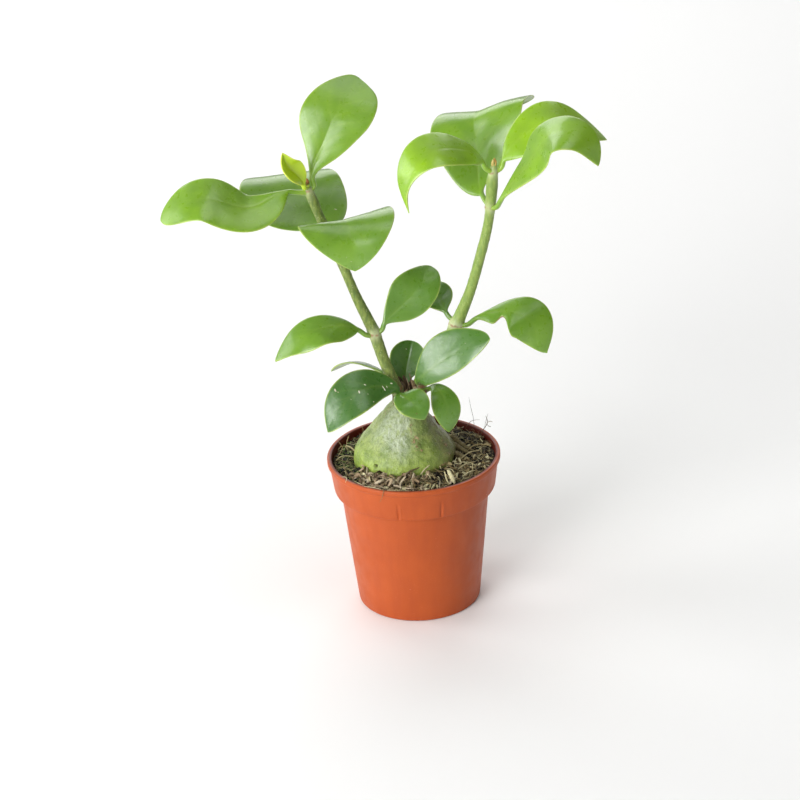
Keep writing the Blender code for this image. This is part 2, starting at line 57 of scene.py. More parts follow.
# Pot
NEAR_AXIS = 0.02 * MM
POT_HEIGHT = 64 * MM
RIM_RADIUS = 35.2 * MM
RIM_DEPTH = 2.2 * MM
COLLAR_TOP_RADIUS = 34.4 * MM
COLLAR_FOOT_RADIUS = 32.8 * MM
COLLAR_FOOT = 50.2 * MM
COLLAR_STEP = 1.2 * MM
BODY_TOP_RADIUS = 30.3 * MM
FOOT_RADIUS = 25.0 * MM
POT_WALL = 1.1 * MM
FLOOR_THICKNESS = 1.5 * MM
DRAIN_HOLES = 6
DRAIN_RADIUS = 3.0 * MM
DRAIN_CIRCLE = 18.5 * MM
POT_STEPS = 240

# Soil: its level, its gap to what it touches, rows and columns, and its lumps and mottling for lumps()
SOIL_LEVEL = 61.0 * MM
SOIL_GAP = 0.3 * MM
SOIL_ROWS = 90
SOIL_COLUMNS = 300
SOIL_LUMPS = ((5.5, 0.0, 0.8, 1), (2.0, 3.0, 0.45, 1), (0.9, 8.0, 0.28, 1))
SOIL_MOTTLE = ((2.2, 21.0, 0.5, 1), (0.8, 31.0, 0.25, 1))

# Caudex: height, half width, and how far its axis lies to the right
CAUDEX_PROFILE = (
    (45, 3, -4),
    (49, 10, -4),
    (55, 16.6, -4),
    (60, 19.8, -3.8),
    (64.5, 20.8, -3.7),
    (68.6, 19.2, -3.8),
    (72.5, 16.3, -4.1),
    (77, 12.8, -3.8),
    (81.5, 9.8, -3),
    (85.5, 7.5, -1.9),
    (88.2, 5.6, -0.8),
)
CAUDEX_DEPTH = 0.94
# Lobes of the caudex: how many, how far they swell as a share of its half width, and where they start
CAUDEX_LOBES = ((3, 0.022, 0.6), (5, 0.014, -1))
LOBE_FADE = 6 * MM

# Stem centre lines and thicknesses: x, y, z and radius
STEM_LEFT = (
    (-3.8, -0.8, 88.7, 2.6),
    (-5.2, -0.9, 92.4, 2.5),
    (-6.8, -1, 97, 2.4),
    (-10.5, -1, 108, 2.3),
    (-13.2, -1, 118, 2.4),
    (-18.9, -2, 133, 2),
    (-23.2, -3, 146, 1.9),
    (-27.6, -3, 158.5, 2.1),
    (-32.5, -3, 171, 1.8),
    (-35.6, -3, 180.2, 1.6),
    (-36.5, -3.2, 182.6, 1.1),
)
STEM_RIGHT = (
    (2.4, 2, 88.6, 2.8),
    (3.2, 2.8, 91.2, 2.8),
    (4.4, 3.6, 93.8, 2.8),
    (10.5, 5, 102, 2.8),
    (16.5, 5, 111, 2.8),
    (19.8, 5, 118.2, 2.6),
    (25.2, 4, 131.5, 2.1),
    (30, 2.4, 148, 2),
    (33.2, 1.8, 160.5, 1.9),
    (34.4, 1.2, 168.5, 2),
    (36, 0.2, 183.6, 1.6),
    (36.4, 0, 186.2, 0.9),
)

# Leaves: stalk and blade, as in the part
STALK = 1.05
STALK_RADIUS = STALK * MM
STALK_TAPER = 0.75
FOOT_CLEARANCE = 0.7
BLADE_THICKNESS = 0.95 * MM
FLATTENING_LENGTH = 0.22
FLATTENING_RATE = 0.7
TIP_THINNING = 0.12
RIB_HEIGHT = 0.35 * MM
RIB_WIDTH = 0.14
STALK_ROUNDING = 0.5
MARGIN_ROUNDING = 0.27
FLAT_MARGIN = (0.0, 0.0, 0.0)
NO_NOTCH = (0.5, 0.0, 0.1)

# Leaves: the finer pieces' rows and columns, veins, unevenness, and how a stalk joins its stem
LEAF_ROWS = 84
LEAF_COLUMNS = 41
FOOT_ROWS = 9
COLUMN_CROWDING = 0.78
SIDE_VEINS = 7
VEIN_SLANT = 0.34
MIDRIB_REACH = 0.6
SIDE_VEIN_REACH = 0.45
MIDRIB_GROOVE = 0.13 * MM
SIDE_VEIN_GROOVE = 0.035 * MM
MARGIN_REACH = 0.4 * MM
LEAF_LUMPS = ((9.0, 0.0, 0.24, 1), (3.2, 5.0, 0.05, 1))
FOLD_SOFTNESS = (0.04, 0.3)
WOUND_EDGE = (0.86, 0.97)
ROW_EVENNESS = 0.3
JOINT_SHARE = 0.55
JOINT_LEAST = 0.035
FOOT_BEND = 0.42
FOOT_FLARE = 0.25


def side(half, widest=0.55, base=1.0, tip=0.6, fold=0.0, curl=0.0, wave=FLAT_MARGIN, notch=NO_NOTCH):
    """One half of a blade, as in the part: its width, where that is, fullness, fold, curl, waves, bite."""
    return {"half": half, "widest": widest, "base": base, "tip": tip, "fold": fold, "curl": curl,
            "wave": wave, "notch": notch}


def leaf(node, route, faces, left, right, stalk=0.08, fresh=0.5, veins=1.0):
    """One leaf as in the part. fresh runs from an old dark leaf at 0 to a lime green one at 1."""
    return {"node": node, "route": route, "faces": faces, "left": left, "right": right,
            "stalk": stalk, "fresh": fresh, "veins": veins}


LEAVES = {
    "leaf_left_top": leaf(
        (STEM_LEFT, 9),
        ((-34, -2, 185), (-30, 1, 196.2), (-23.3, 6, 207.9), (-11.4, 14, 216.6)),
        ((-104, 17), (-94, 26), (-82, 50)),
        left=side(13.2, 0.58, 1.6, 0.27, fold=8, curl=-16),
        right=side(13.3, 0.68, 0.6, 0.3, fold=8, curl=-16),
        stalk=0.06, fresh=0.5, veins=1.6),
    "leaf_left_young": leaf(
        (STEM_LEFT, 10),
        ((-38.5, -6.5, 186.5), (-43, -8.5, 192.8), (-44.5, -9.5, 198.6)),
        ((-70, 35), (-70, 35)),
        left=side(5.5, 0.5, tip=0.8, fold=35),
        right=side(5.2, 0.5, tip=0.8, fold=35),
        fresh=1, veins=0.3),
    "leaf_left_side": leaf(
        (STEM_LEFT, 9),
        ((-42.5, -5, 181), (-58, -12, 178), (-75, -14, 183), (-92.5, -14, 175)),
        ((-90, 50), (-95, 60), (-110, 65)),
        left=side(11.2, 0.45, 0.7, 0.45, curl=-15),
        right=side(10.8, 0.62, 0.8, 0.6),
        stalk=0.10, fresh=0.55),
    "leaf_left_back": leaf(
        (STEM_LEFT, 7),
        ((-31, 6, 162), (-39.5, 18, 172), (-44, 30, 175), (-48, 44, 163.5)),
        ((-90, 45), (-92, 70), (90, 50)),
        left=side(23, 0.46, 1, 1),
        right=side(17.4, 0.42, 0.5, 0.6),
        fresh=0.4),
    "leaf_left_front": leaf(
        (STEM_LEFT, 7),
        ((-25, -9, 166), (-22, -15, 171.8), (-20, -22, 167.5), (-19, -25, 155)),
        ((90, 40), (-92, 82), (-90, 10)),
        left=side(19.2, 0.38, tip=0.78, fold=6),
        right=side(19.2, 0.38, tip=0.76, fold=3),
        fresh=0.42),
    "leaf_left_mid_outer": leaf(
        (STEM_LEFT, 4),
        ((-17.5, -4, 119.5), (-27.5, -8, 125), (-40, -11, 123), (-52.5, -12, 113)),
        ((-90, 55), (-100, 60), (-130, 50)),
        left=side(8, 0.42, 0.7, 0.85, curl=-10, wave=(0.7, 2.2, 0.37)),
        right=side(7.6, 0.5, tip=0.7, fold=-3),
        stalk=0.14, fresh=0.42),
    "leaf_left_mid_inner": leaf(
        (STEM_LEFT, 4),
        ((-9.5, -2, 121.5), (-2, 0, 129), (5.5, 3, 136), (10.5, 9, 141.5)),
        ((-80, 25), (-80, 30), (-80, 50)),
        left=side(9.2, 0.53, 1.05, 0.6, fold=8),
        right=side(8.6, 0.58, 0.65, 0.40, fold=4, curl=-10),
        stalk=0.10, fresh=0.25),
    "leaf_right_arching": leaf(
        (STEM_RIGHT, 10),
        ((31.5, -2, 188.5), (20, -8, 196.3), (8.8, -13, 195.5), (2.3, -16, 186),
         (2.5, -17, 174.5)),
        ((-90, 60), (-100, 65), (-150, 30)),
        left=side(8.8, 0.38, 0.8, 2.3, curl=-10),
        right=side(10.3, 0.45, 1.3, 1.15),
        fresh=0.85),
    "leaf_right_back": leaf(
        (STEM_RIGHT, 9),
        ((31, 9, 172.5), (30.5, 17, 184.6), (30.5, 28, 196.6), (41, 43, 191)),
        ((-100, 10), (-118, 25), (163, 62)),
        left=side(18.4, 0.52, 0.6, 0.85, fold=9),
        right=side(22.4, 0.68, 0.62, 0.11, fold=12, curl=-20),
        fresh=0.5, veins=1.5),
    "leaf_right_far": leaf(
        (STEM_RIGHT, 10),
        ((40.5, 0.5, 188.6), (49.5, 3, 197.4), (60, 6, 201.4), (71, 9, 196.8),
         (80.8, 11, 190)),
        ((-110, 55), (-100, 62), (-90, 78)),
        left=side(10.5, 0.5, tip=0.7),
        right=side(12.5, 0.45, 0.8, 0.8),
        fresh=0.9),
    "leaf_right_front": leaf(
        (STEM_RIGHT, 9),
        ((40, -6, 176.5), (50, -13, 192), (60, -18.5, 204.8), (68.5, -22, 203.8),
         (74.5, -24, 192.5)),
        ((-104, 55), (-98, 66), (-84, 66), (-58, 44)),
        left=side(9.4, 0.55, tip=0.65),
        right=side(10.8, 0.58, 0.9, 0.9, curl=-6),
        fresh=0.6),
    "leaf_right_mid_inner": leaf(
        (STEM_RIGHT, 5),
        ((16, 8, 121), (14, 11, 124.5), (11.5, 16, 127), (8, 22, 127.5)),
        ((-80, 20), (-85, 35)),
        left=side(6.5, 0.5, tip=0.5),
        right=side(6.5, 0.5, tip=0.5),
        stalk=0.15, fresh=0.2),
    "leaf_right_mid_outer": leaf(
        (STEM_RIGHT, 5),
        ((26.5, 2, 120.5), (37, -3, 125.7), (45.2, -7, 125), (54.4, -10, 110)),
        ((-90, 60), (-90, 55), (-80, 20)),
        left=side(9.9, 0.60, 1.5, 1, curl=-10),
        right=side(9.2, 0.54, 1, 0.7, curl=-10, wave=(0.35, 4.5, 0.1), notch=(0.345, 0.72, 0.055)),
        stalk=0.12, fresh=0.4),
    "leaf_base_left": leaf(
        (STEM_LEFT, 1),
        ((-5.6, -6, 95.2), (-10.4, -8.4, 98), (-18, -13, 99.5), (-27, -18, 95.5),
         (-33.4, -22, 85.8)),
        ((-90, 40), (-92, 42), (-100, 42), (-130, 30)),
        left=side(8.6, 0.57, 0.75, 0.65),
        right=side(8.9, 0.52, 0.75, 0.9, fold=6),
        stalk=0.04, fresh=0.05),
    "leaf_base_edge": leaf(
        (STEM_LEFT, 2),
        ((-11, 5, 98), (-17, 9, 100), (-24, 11, 100.5), (-31.5, 12, 96.5)),
        ((90, 65), (90, 65)),
        left=side(6, 0.58, tip=0.65),
        right=side(6, 0.58, tip=0.65),
        stalk=0.15, fresh=0.1),
    "leaf_base_back": leaf(
        (STEM_RIGHT, 1),
        ((-1, 8, 92.5), (-0.5, 12, 99.6), (1.5, 16, 106.6)),
        ((-90, 10), (-90, 20), (-90, 30)),
        left=side(8.2, 0.58, 0.65, 0.5, fold=24),
        right=side(8, 0.58, 0.65, 0.5, fold=24),
        fresh=0.1),
    "leaf_base_right": leaf(
        (STEM_RIGHT, 2),
        ((3, -3.5, 97.5), (14, -9, 109), (24, -12, 115.5), (32, -14, 119)),
        ((-80, 35), (-80, 40), (-80, 45)),
        left=side(10.2, 0.55, 1.6, 0.5),
        right=side(7.2, 0.55, 0.6, 0.7, curl=-8),
        stalk=0.02, fresh=0.1),
    "leaf_base_front": leaf(
        (STEM_LEFT, 1),
        ((-4, -7.5, 93.5), (0, -12.5, 92.6), (4.9, -16, 86.4)),
        ((-90, 60), (-90, 45), (-90, 25)),
        left=side(6.8, 0.55, 0.8, 0.7, fold=5, curl=-10),
        right=side(6.2, 0.5, 0.8, 0.75, fold=5, curl=-10),
        stalk=0.06, fresh=0.2),
    "leaf_base_low": leaf(
        (STEM_RIGHT, 1),
        ((10, -4.5, 94.5), (13.5, -9, 90), (14.5, -11, 78)),
        ((-70, 60), (-70, 30), (-70, 10)),
        left=side(6, 0.55, tip=0.75),
        right=side(6, 0.55, tip=0.75),
        stalk=0.10, fresh=0.25),
}


def natural_spline(points, count):
    """Points spread evenly along the natural cubic curve through the given points, as in the part."""
    points = np.asarray(points, dtype=float)
    steps = np.linalg.norm(np.diff(points, axis=0), axis=1)
    knots = np.concatenate([[0.0], np.cumsum(steps)])
    size = len(points)
    matrix = np.eye(size)
    right = np.zeros_like(points)
    for i in range(1, size - 1):
        before, after = steps[i - 1], steps[i]
        matrix[i, i - 1:i + 2] = before, 2 * (before + after), after
        right[i] = 6 * ((points[i + 1] - points[i]) / after - (points[i] - points[i - 1]) / before)
    bend = np.linalg.solve(matrix, right)
    where = np.linspace(0.0, knots[-1], 400)
    span = np.clip(np.searchsorted(knots, where, side="right") - 1, 0, size - 2)
    length = steps[span][:, None]
    low = ((knots[span + 1] - where)[:, None]) / length
    high = ((where - knots[span])[:, None]) / length
    curve = low * points[span] + high * points[span + 1]
    curve += ((low ** 3 - low) * bend[span] + (high ** 3 - high) * bend[span + 1]) * length ** 2 / 6
    run = np.concatenate([[0.0], np.cumsum(np.linalg.norm(np.diff(curve, axis=0), axis=1))])
    even = np.linspace(0.0, run[-1], count)
    return np.stack([np.interp(even, run, curve[:, axis]) for axis in range(curve.shape[1])], axis=1)


def unit(vectors):
    return vectors / np.linalg.norm(vectors, axis=-1, keepdims=True)


def smooth_step(value, low, high):
    share = np.clip((np.asarray(value) - low) / (high - low), 0.0, 1.0)
    return share * share * (3 - 2 * share)


def bell(value, middle, width):
    return np.exp(-((np.asarray(value) - middle) / width) ** 2)


def rough_noise(points, size, seed=0.0):
    """Smooth noise from about -1 to 1 at each point, with lumps of the given size in metres."""
    flat = points.reshape(-1, 3) / size + seed
    values = [noise.noise(Vector(point)) for point in flat]
    return np.array(values).reshape(points.shape[:-1])


def lumps(points, rows):
    """A sum of noises, each by its row's size in millimetres, seed, strength and squeeze in height."""
    return sum(rough_noise(points * (1, 1, squeeze), size * MM, seed) * strength
               for size, seed, strength, squeeze in rows)


def screen(red, green, blue):
    """A colour as a screen shows it, from 0 to 255, in the linear values that shaders take."""
    shares = [value / 255 for value in (red, green, blue)]
    return (*[value / 12.92 if value < 0.04 else ((value + 0.055) / 1.055) ** 2.4 for value in shares], 1.0)


class Look:
    """A material made of nodes. Its helpers return sockets, and sizes are in millimetres."""

    def __init__(self, name, constants):
        self.material = bpy.data.materials.new(name)
        self.material.use_nodes = True
        self.tree = self.material.node_tree
        self.shader = self.tree.nodes["Principled BSDF"]
        for key, value in constants.items():
            self.shader.inputs[key].default_value = value
        coordinates = self.add("ShaderNodeTexCoord")
        self.place = self.scaled(coordinates.outputs["Object"], (1 / MM,) * 3)

    def add(self, kind, **settings):
        made = self.tree.nodes.new(kind)
        for key, value in settings.items():
            setattr(made, key, value)
        return made

    def put(self, socket, value):
        if isinstance(value, bpy.types.NodeSocket):
            self.tree.links.new(value, socket)
        else:
            socket.default_value = value

    def show(self, name, value):
        self.put(self.shader.inputs[name], value)

    def scaled(self, place, factors):
        made = self.add("ShaderNodeVectorMath", operation="MULTIPLY")
        self.put(made.inputs[0], place)
        self.put(made.inputs[1], factors)
        return made.outputs[0]

    def attribute(self, name):
        return self.add("ShaderNodeAttribute", attribute_name=name).outputs["Fac"]

    def noise(self, size, detail=3.0, place=None, twist=0.0):
        made = self.add("ShaderNodeTexNoise")
        self.put(made.inputs["Vector"], place or self.place)
        self.put(made.inputs["Scale"], 1 / size)
        self.put(made.inputs["Detail"], detail)
        self.put(made.inputs["Distortion"], twist)
        return made.outputs["Fac"]

    def cells(self, size, place=None):
        made = self.add("ShaderNodeTexVoronoi")
        self.put(made.inputs["Vector"], place or self.place)
        self.put(made.inputs["Scale"], 1 / size)
        return made.outputs["Distance"]

    def spread(self, value, low, high, first=0.0, last=1.0):
        """The value's run from low to high, eased and stretched to run from first to last."""
        made = self.add("ShaderNodeMapRange", interpolation_type="SMOOTHSTEP")
        for socket, number in zip(made.inputs, (value, low, high, first, last)):
            self.put(socket, number)
        return made.outputs[0]

    def math(self, operation, first, second, **settings):
        made = self.add("ShaderNodeMath", operation=operation, **settings)
        self.put(made.inputs[0], first)
        self.put(made.inputs[1], second)
        return made.outputs[0]

    def times(self, first, second):
        return self.math("MULTIPLY", first, second, use_clamp=True)

    def plus(self, first, second):
        return self.math("ADD", first, second)

    def mix(self, share, first, second):
        made = self.add("ShaderNodeMix", data_type="RGBA")
        self.put(made.inputs[0], share)
        self.put(made.inputs[6], first)
        self.put(made.inputs[7], second)
        return made.outputs[2]

    def bump(self, height, depth):
        """Raise the surface by up to depth millimetres where height is 1."""
        made = self.add("ShaderNodeBump")
        self.put(made.inputs["Distance"], depth * MM)
        self.put(made.inputs["Height"], height)
        self.put(self.shader.inputs["Normal"], made.outputs["Normal"])


def leaf_look(name, dark, lime, under, margin, roughness):
    """Leathery, shining leaf: mottled, with pale veins, a fine light margin and a duller underside."""
    look = Look(name, {"Coat Weight": 0.5, "Coat Roughness": 0.2, "Subsurface Weight": 0.12,
                       "Subsurface Radius": (0.7, 1.0, 0.2), "Subsurface Scale": 1.0 * MM})
    tone = look.mix(look.attribute("fresh"), dark, lime)
    tone = look.mix(look.spread(look.noise(12, 2), 0.36, 0.64, 0.0, 0.42), tone, look.mix(0.55, tone, dark))
    tone = look.mix(look.spread(look.noise(0.9, 4), 0.35, 0.65, 0.0, 0.12), tone, look.mix(0.5, tone, dark))
    tone = look.mix(look.times(look.attribute("vein"), 0.5), tone, look.mix(0.6, tone, margin))
    tone = look.mix(look.attribute("under"), tone, look.mix(0.65, tone, under))
    rim = look.times(look.attribute("edge"), look.spread(look.noise(4, 3), 0.35, 0.65, 0.45, 0.9))
    tone = look.mix(rim, tone, margin)
    tone = look.mix(look.times(look.attribute("stalk"), 0.7), tone, look.mix(0.55, tone, margin))
    tone = look.mix(look.attribute("wound"), tone, screen(120, 62, 38))
    look.show("Base Color", tone)
    shine = look.spread(look.noise(2.2, 4), 0.3, 0.7, roughness - 0.05, roughness + 0.09)
    dull = look.times(look.attribute("under"), 0.14)
    look.show("Roughness", look.plus(look.plus(shine, dull), look.times(look.attribute("wound"), 0.4)))
    look.bump(look.plus(look.times(look.noise(1.6, 3), 0.7), look.times(look.noise(0.35, 2), 0.3)), 0.05)
    return look.material


def caudex_look():
    """Pale green skin, silvery in places, fine upright wrinkles, warts, brown scars and one small pit."""
    look = Look("caudex_skin_look", {"Subsurface Weight": 0.06, "Subsurface Radius": (1.0, 0.9, 0.4),
                                     "Subsurface Scale": 1.0 * MM})
    upright = look.scaled(look.place, (1.0, 1.0, 0.22))
    wrinkles = look.noise(0.75, 4, upright, 0.6)
    grain = look.cells(0.6)
    patches = look.noise(4.5, 4)
    tone = look.mix(look.spread(patches, 0.35, 0.65), screen(112, 134, 56), screen(154, 170, 90))
    # Silvery grey: painted highlight high at the front left and in a band left of the front; wax at the back
    wax_and_highlight_breakup = look.spread(look.noise(1.3, 5, upright), 0.3, 0.6, 0.35, 1.0)
    wax_and_highlight = look.times(look.attribute("wax_and_highlight"), wax_and_highlight_breakup)
    tone = look.mix(wax_and_highlight, tone, screen(176, 186, 158))
    # Fresh green low down all round, stronger at the front left as painted light
    green_low_and_lit_left = look.times(look.attribute("green_low_and_lit_left"), look.spread(patches, 0.3, 0.6, 0.4, 1.0))
    tone = look.mix(green_low_and_lit_left, tone, screen(154, 178, 76))
    brown = look.times(look.attribute("brown"), look.spread(look.noise(2.0, 4), 0.3, 0.6, 0.4, 1.0))
    tone = look.mix(brown, tone, screen(112, 100, 72))
    tone = look.mix(look.spread(wrinkles, 0.48, 0.64, 0.0, 0.4), tone, screen(84, 98, 48))
    tone = look.mix(look.spread(grain, 0.05, 0.34, 0.5, 0.0), tone, screen(200, 204, 156))
    papery = look.mix(look.spread(look.noise(0.8, 3), 0.4, 0.6), screen(176, 150, 112), screen(104, 78, 50))
    tone = look.mix(look.attribute("scar"), tone, papery)
    # The pit's dark brown is painted shade, as inside a deep hole
    tone = look.mix(look.attribute("pit"), tone, screen(48, 34, 20))
    look.show("Base Color", tone)
    look.show("Roughness", look.spread(look.noise(1.5, 3), 0.3, 0.7, 0.27, 0.46))
    dots = look.spread(grain, 0.0, 0.5, 1.0, 0.0)
    look.bump(look.plus(look.times(wrinkles, 0.6), look.times(dots, 0.4)), 0.24)
    return look.material


def stem_look(name, ground, shade, speckle):
    """Green bark with pale lenticels and corky brown scars at the nodes."""
    look = Look(name, {"Subsurface Weight": 0.06, "Subsurface Scale": 0.8 * MM})
    upright = look.scaled(look.place, (1.0, 1.0, 0.35))
    tone = look.mix(look.spread(look.noise(1.1, 4, upright), 0.35, 0.65), ground, shade)
    dots = look.cells(0.62, look.scaled(look.place, (1.0, 1.0, 0.6)))
    here_and_there = look.spread(look.noise(2.4, 3), 0.42, 0.62, 0.05, 1.0)
    spots = look.times(look.spread(dots, 0.08, 0.32, 0.8, 0.0), here_and_there)
    tone = look.mix(spots, tone, speckle)
    tone = look.mix(look.attribute("pale"), tone, screen(206, 212, 168))
    tone = look.mix(look.attribute("woody"), tone, screen(112, 100, 66))
    tone = look.mix(look.attribute("scar"), tone, screen(146, 104, 74))
    look.show("Base Color", tone)
    look.show("Roughness", look.spread(look.noise(0.9, 3), 0.3, 0.7, 0.42, 0.62))
    raised = look.spread(dots, 0.1, 0.35, 1.0, 0.0)
    look.bump(look.plus(look.times(raised, 0.5), look.times(look.noise(0.8, 4), 0.5)), 0.12)
    return look.material


def pot_look():
    """Satin moulded plastic with a faint cloudiness, fine specks, a few pale scuffs and painted shade
    inside.
    """
    look = Look("terracotta_plastic_look", {"Specular IOR Level": 0.32, "Subsurface Weight": 0.03,
                                            "Subsurface Scale": 0.8 * MM})
    upright = look.scaled(look.place, (1.0, 1.0, 0.12))
    tone = look.mix(look.spread(look.noise(16, 3), 0.35, 0.65), screen(172, 76, 28), screen(178, 80, 30))
    tone = look.mix(look.spread(look.noise(3.0, 3, upright), 0.4, 0.7, 0.0, 0.3), tone, screen(160, 66, 26))
    tone = look.mix(look.spread(look.noise(0.5, 4), 0.62, 0.8, 0.0, 0.25), tone, screen(232, 140, 100))
    scuffs = look.noise(2.6, 6, look.scaled(look.place, (0.55, 0.55, 1.6)), 0.8)
    tone = look.mix(look.spread(scuffs, 0.72, 0.78, 0.0, 0.5), tone, screen(236, 176, 148))
    # The inner wall and floor are much darker: painted shade
    tone = look.mix(look.attribute("inside"), tone, screen(92, 28, 14))
    look.show("Base Color", tone)
    look.show("Roughness", look.spread(look.noise(5, 4), 0.3, 0.7, 0.4, 0.54))
    waves = look.noise(6.0, 2, upright)
    look.bump(look.plus(look.times(look.noise(0.28, 2), 0.4), look.times(waves, 0.6)), 0.05)
    return look.material


def litter_look(name, low, middle, high, grain, roughness=0.85):
    """Loose matter in the soil: each bit has its own shade between three colours, with a fine grain."""
    look = Look(name, {})
    shade = look.attribute("shade")
    tone = look.mix(look.spread(shade, 0.0, 0.5), low, middle)
    tone = look.mix(look.spread(shade, 0.5, 1.0), tone, high)
    tone = look.mix(look.spread(look.noise(grain, 4), 0.35, 0.65, 0.0, 0.55), tone, look.mix(0.5, tone, low))
    look.show("Base Color", tone)
    look.show("Roughness", look.spread(look.noise(grain * 2, 2), 0.3, 0.7, roughness - 0.1, roughness + 0.1))
    look.bump(look.noise(grain, 4), 0.12)
    return look.material


def plain_look(name, colour):
    """A matt, faintly mottled finish for the floor."""
    look = Look(name, {"Roughness": 0.9})
    darker = tuple(0.98 * part for part in colour[:3]) + (1.0,)
    look.show("Base Color", look.mix(look.noise(400, 2), colour, darker))
    return look.material


def piece(name, points, faces, look, stands_for, values):
    """A smooth mesh that rides on the plant, its faces outward, with a number per point for each value."""
    mesh = bpy.data.meshes.new(name)
    mesh.from_pydata(np.asarray(points).reshape(-1, 3).tolist(), [], faces)
    for key, numbers in values.items():
        layer = mesh.attributes.new(key, "FLOAT", "POINT")
        layer.data.foreach_set("value", np.asarray(numbers, dtype=np.float32).ravel())
    mesh.calc_loop_triangles()
    corners = np.zeros(3 * len(mesh.loop_triangles), dtype=np.int32)
    mesh.loop_triangles.foreach_get("vertices", corners)
    flat = np.asarray(points).reshape(-1, 3)[corners].reshape(-1, 3, 3)
    if np.einsum("ij,ij->", flat[:, 0], np.cross(flat[:, 1], flat[:, 2])) < 0:
        mesh.flip_normals()
    mesh.materials.append(look)
    mesh.shade_smooth()
    made = bpy.data.objects.new(name, mesh)
    bpy.context.scene.collection.objects.link(made)
    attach(made, "root")
    if stands_for:
        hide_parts(*stands_for)
    return made


def skin_faces(rows, columns, start=0):
    """Faces of a closed skin over rings of points, with a cap at both ends."""
    faces = []
    for i in range(rows - 1):
        low, high = start + i * columns, start + (i + 1) * columns
        for j in range(columns):
            after = (j + 1) % columns
            faces.append((low + j, low + after, high + after, high + j))
    faces.append(tuple(start + j for j in reversed(range(columns))))
    faces.append(tuple(start + (rows - 1) * columns + j for j in range(columns)))
    return faces


def skin(name, rings, look, stands_for, values):
    rows, columns, _ = rings.shape
    return piece(name, rings, skin_faces(rows, columns), look, stands_for, values)


def direction(azimuth, elevation):
    turn = math.radians(azimuth)
    rise = math.radians(elevation)
    return np.array([math.cos(rise) * math.cos(turn), math.cos(rise) * math.sin(turn), math.sin(rise)])


def leaf_foot(shape):
    """Where the stalk starts, clear of the bark, the way out there, and the stem's middle and axis."""
    stem, row = shape["node"]
    rows = np.array(stem)
    last = len(rows) - 1
    axis = unit(rows[min(row + 1, last), :3] - rows[row - 1, :3])
    outward = np.array(shape["route"][0]) - rows[row, :3]
    steep = abs(outward @ axis) / np.linalg.norm(outward)
    outward = unit(outward - axis * (outward @ axis))
    clear = FOOT_CLEARANCE + STALK * steep
    return (rows[row, :3] + outward * (rows[row, 3] + clear)) * MM, outward, rows[row, :3] * MM, axis


def leaf_frame(shape, shares):
    """The midrib's points and its up and side directions at the given shares of its length."""
    fine = natural_spline(np.vstack([leaf_foot(shape)[0], np.array(shape["route"]) * MM]), 129)
    place = np.linspace(0.0, 1.0, len(fine))
    points = np.stack([np.interp(shares, place, fine[:, axis]) for axis in range(3)], axis=1)
    slope = np.gradient(fine, axis=0)
    along = unit(np.stack([np.interp(shares, place, slope[:, axis]) for axis in range(3)], axis=1))
    looks = np.array([direction(*pair) for pair in shape["faces"]])
    even = np.linspace(0.0, 1.0, len(looks))
    up = np.stack([np.interp(shares, even, looks[:, axis]) for axis in range(3)], axis=1)
    up = unit(up - along * np.sum(up * along, axis=1)[:, None])
    return points, up, np.cross(along, up)


def half_width(half, blade):
    """Width of one half of a blade at shares of its length."""
    power = math.log(0.5) / math.log(half["widest"])
    fullness = half["base"] * (1 - blade) + half["tip"] * blade
    width = half["half"] * MM * np.sin(np.pi * blade ** power) ** fullness
    place, depth, length = half["notch"]
    reach = np.where(blade > place, 1.9 * length, length)
    return width * (1 - depth * bell(blade, place, reach))


def leaf_columns():
    """Places across a blade from -1 to 1, close together at its margins and midrib."""
    even = np.linspace(-1.0, 1.0, LEAF_COLUMNS)
    return even - COLUMN_CROWDING * np.sin(2 * np.pi * even) / (2 * np.pi)


def vein_strength(blade, across, half):
    """How strongly the midrib and the side veins show at a place on the blade, from 0 to 1."""
    from_rib = np.abs(across) * half / MM
    midrib = bell(from_rib, 0.0, MIDRIB_REACH) * (1 - blade) ** 1.5
    shift = 0.5 if across < 0 else 0.0
    bent = blade - VEIN_SLANT * abs(across) ** 0.8 + 0.012 * np.sin(9 * blade + 4 * across)
    count = SIDE_VEINS * bent + shift
    away = np.abs(count - np.round(count)) / SIDE_VEINS * 40
    fading = (1 - abs(across)) ** 0.5 * np.sin(np.pi * np.clip(blade, 0, 1)) ** 0.5
    return midrib, bell(away, 0.0, SIDE_VEIN_REACH) * fading * (from_rib > MIDRIB_REACH / 2)


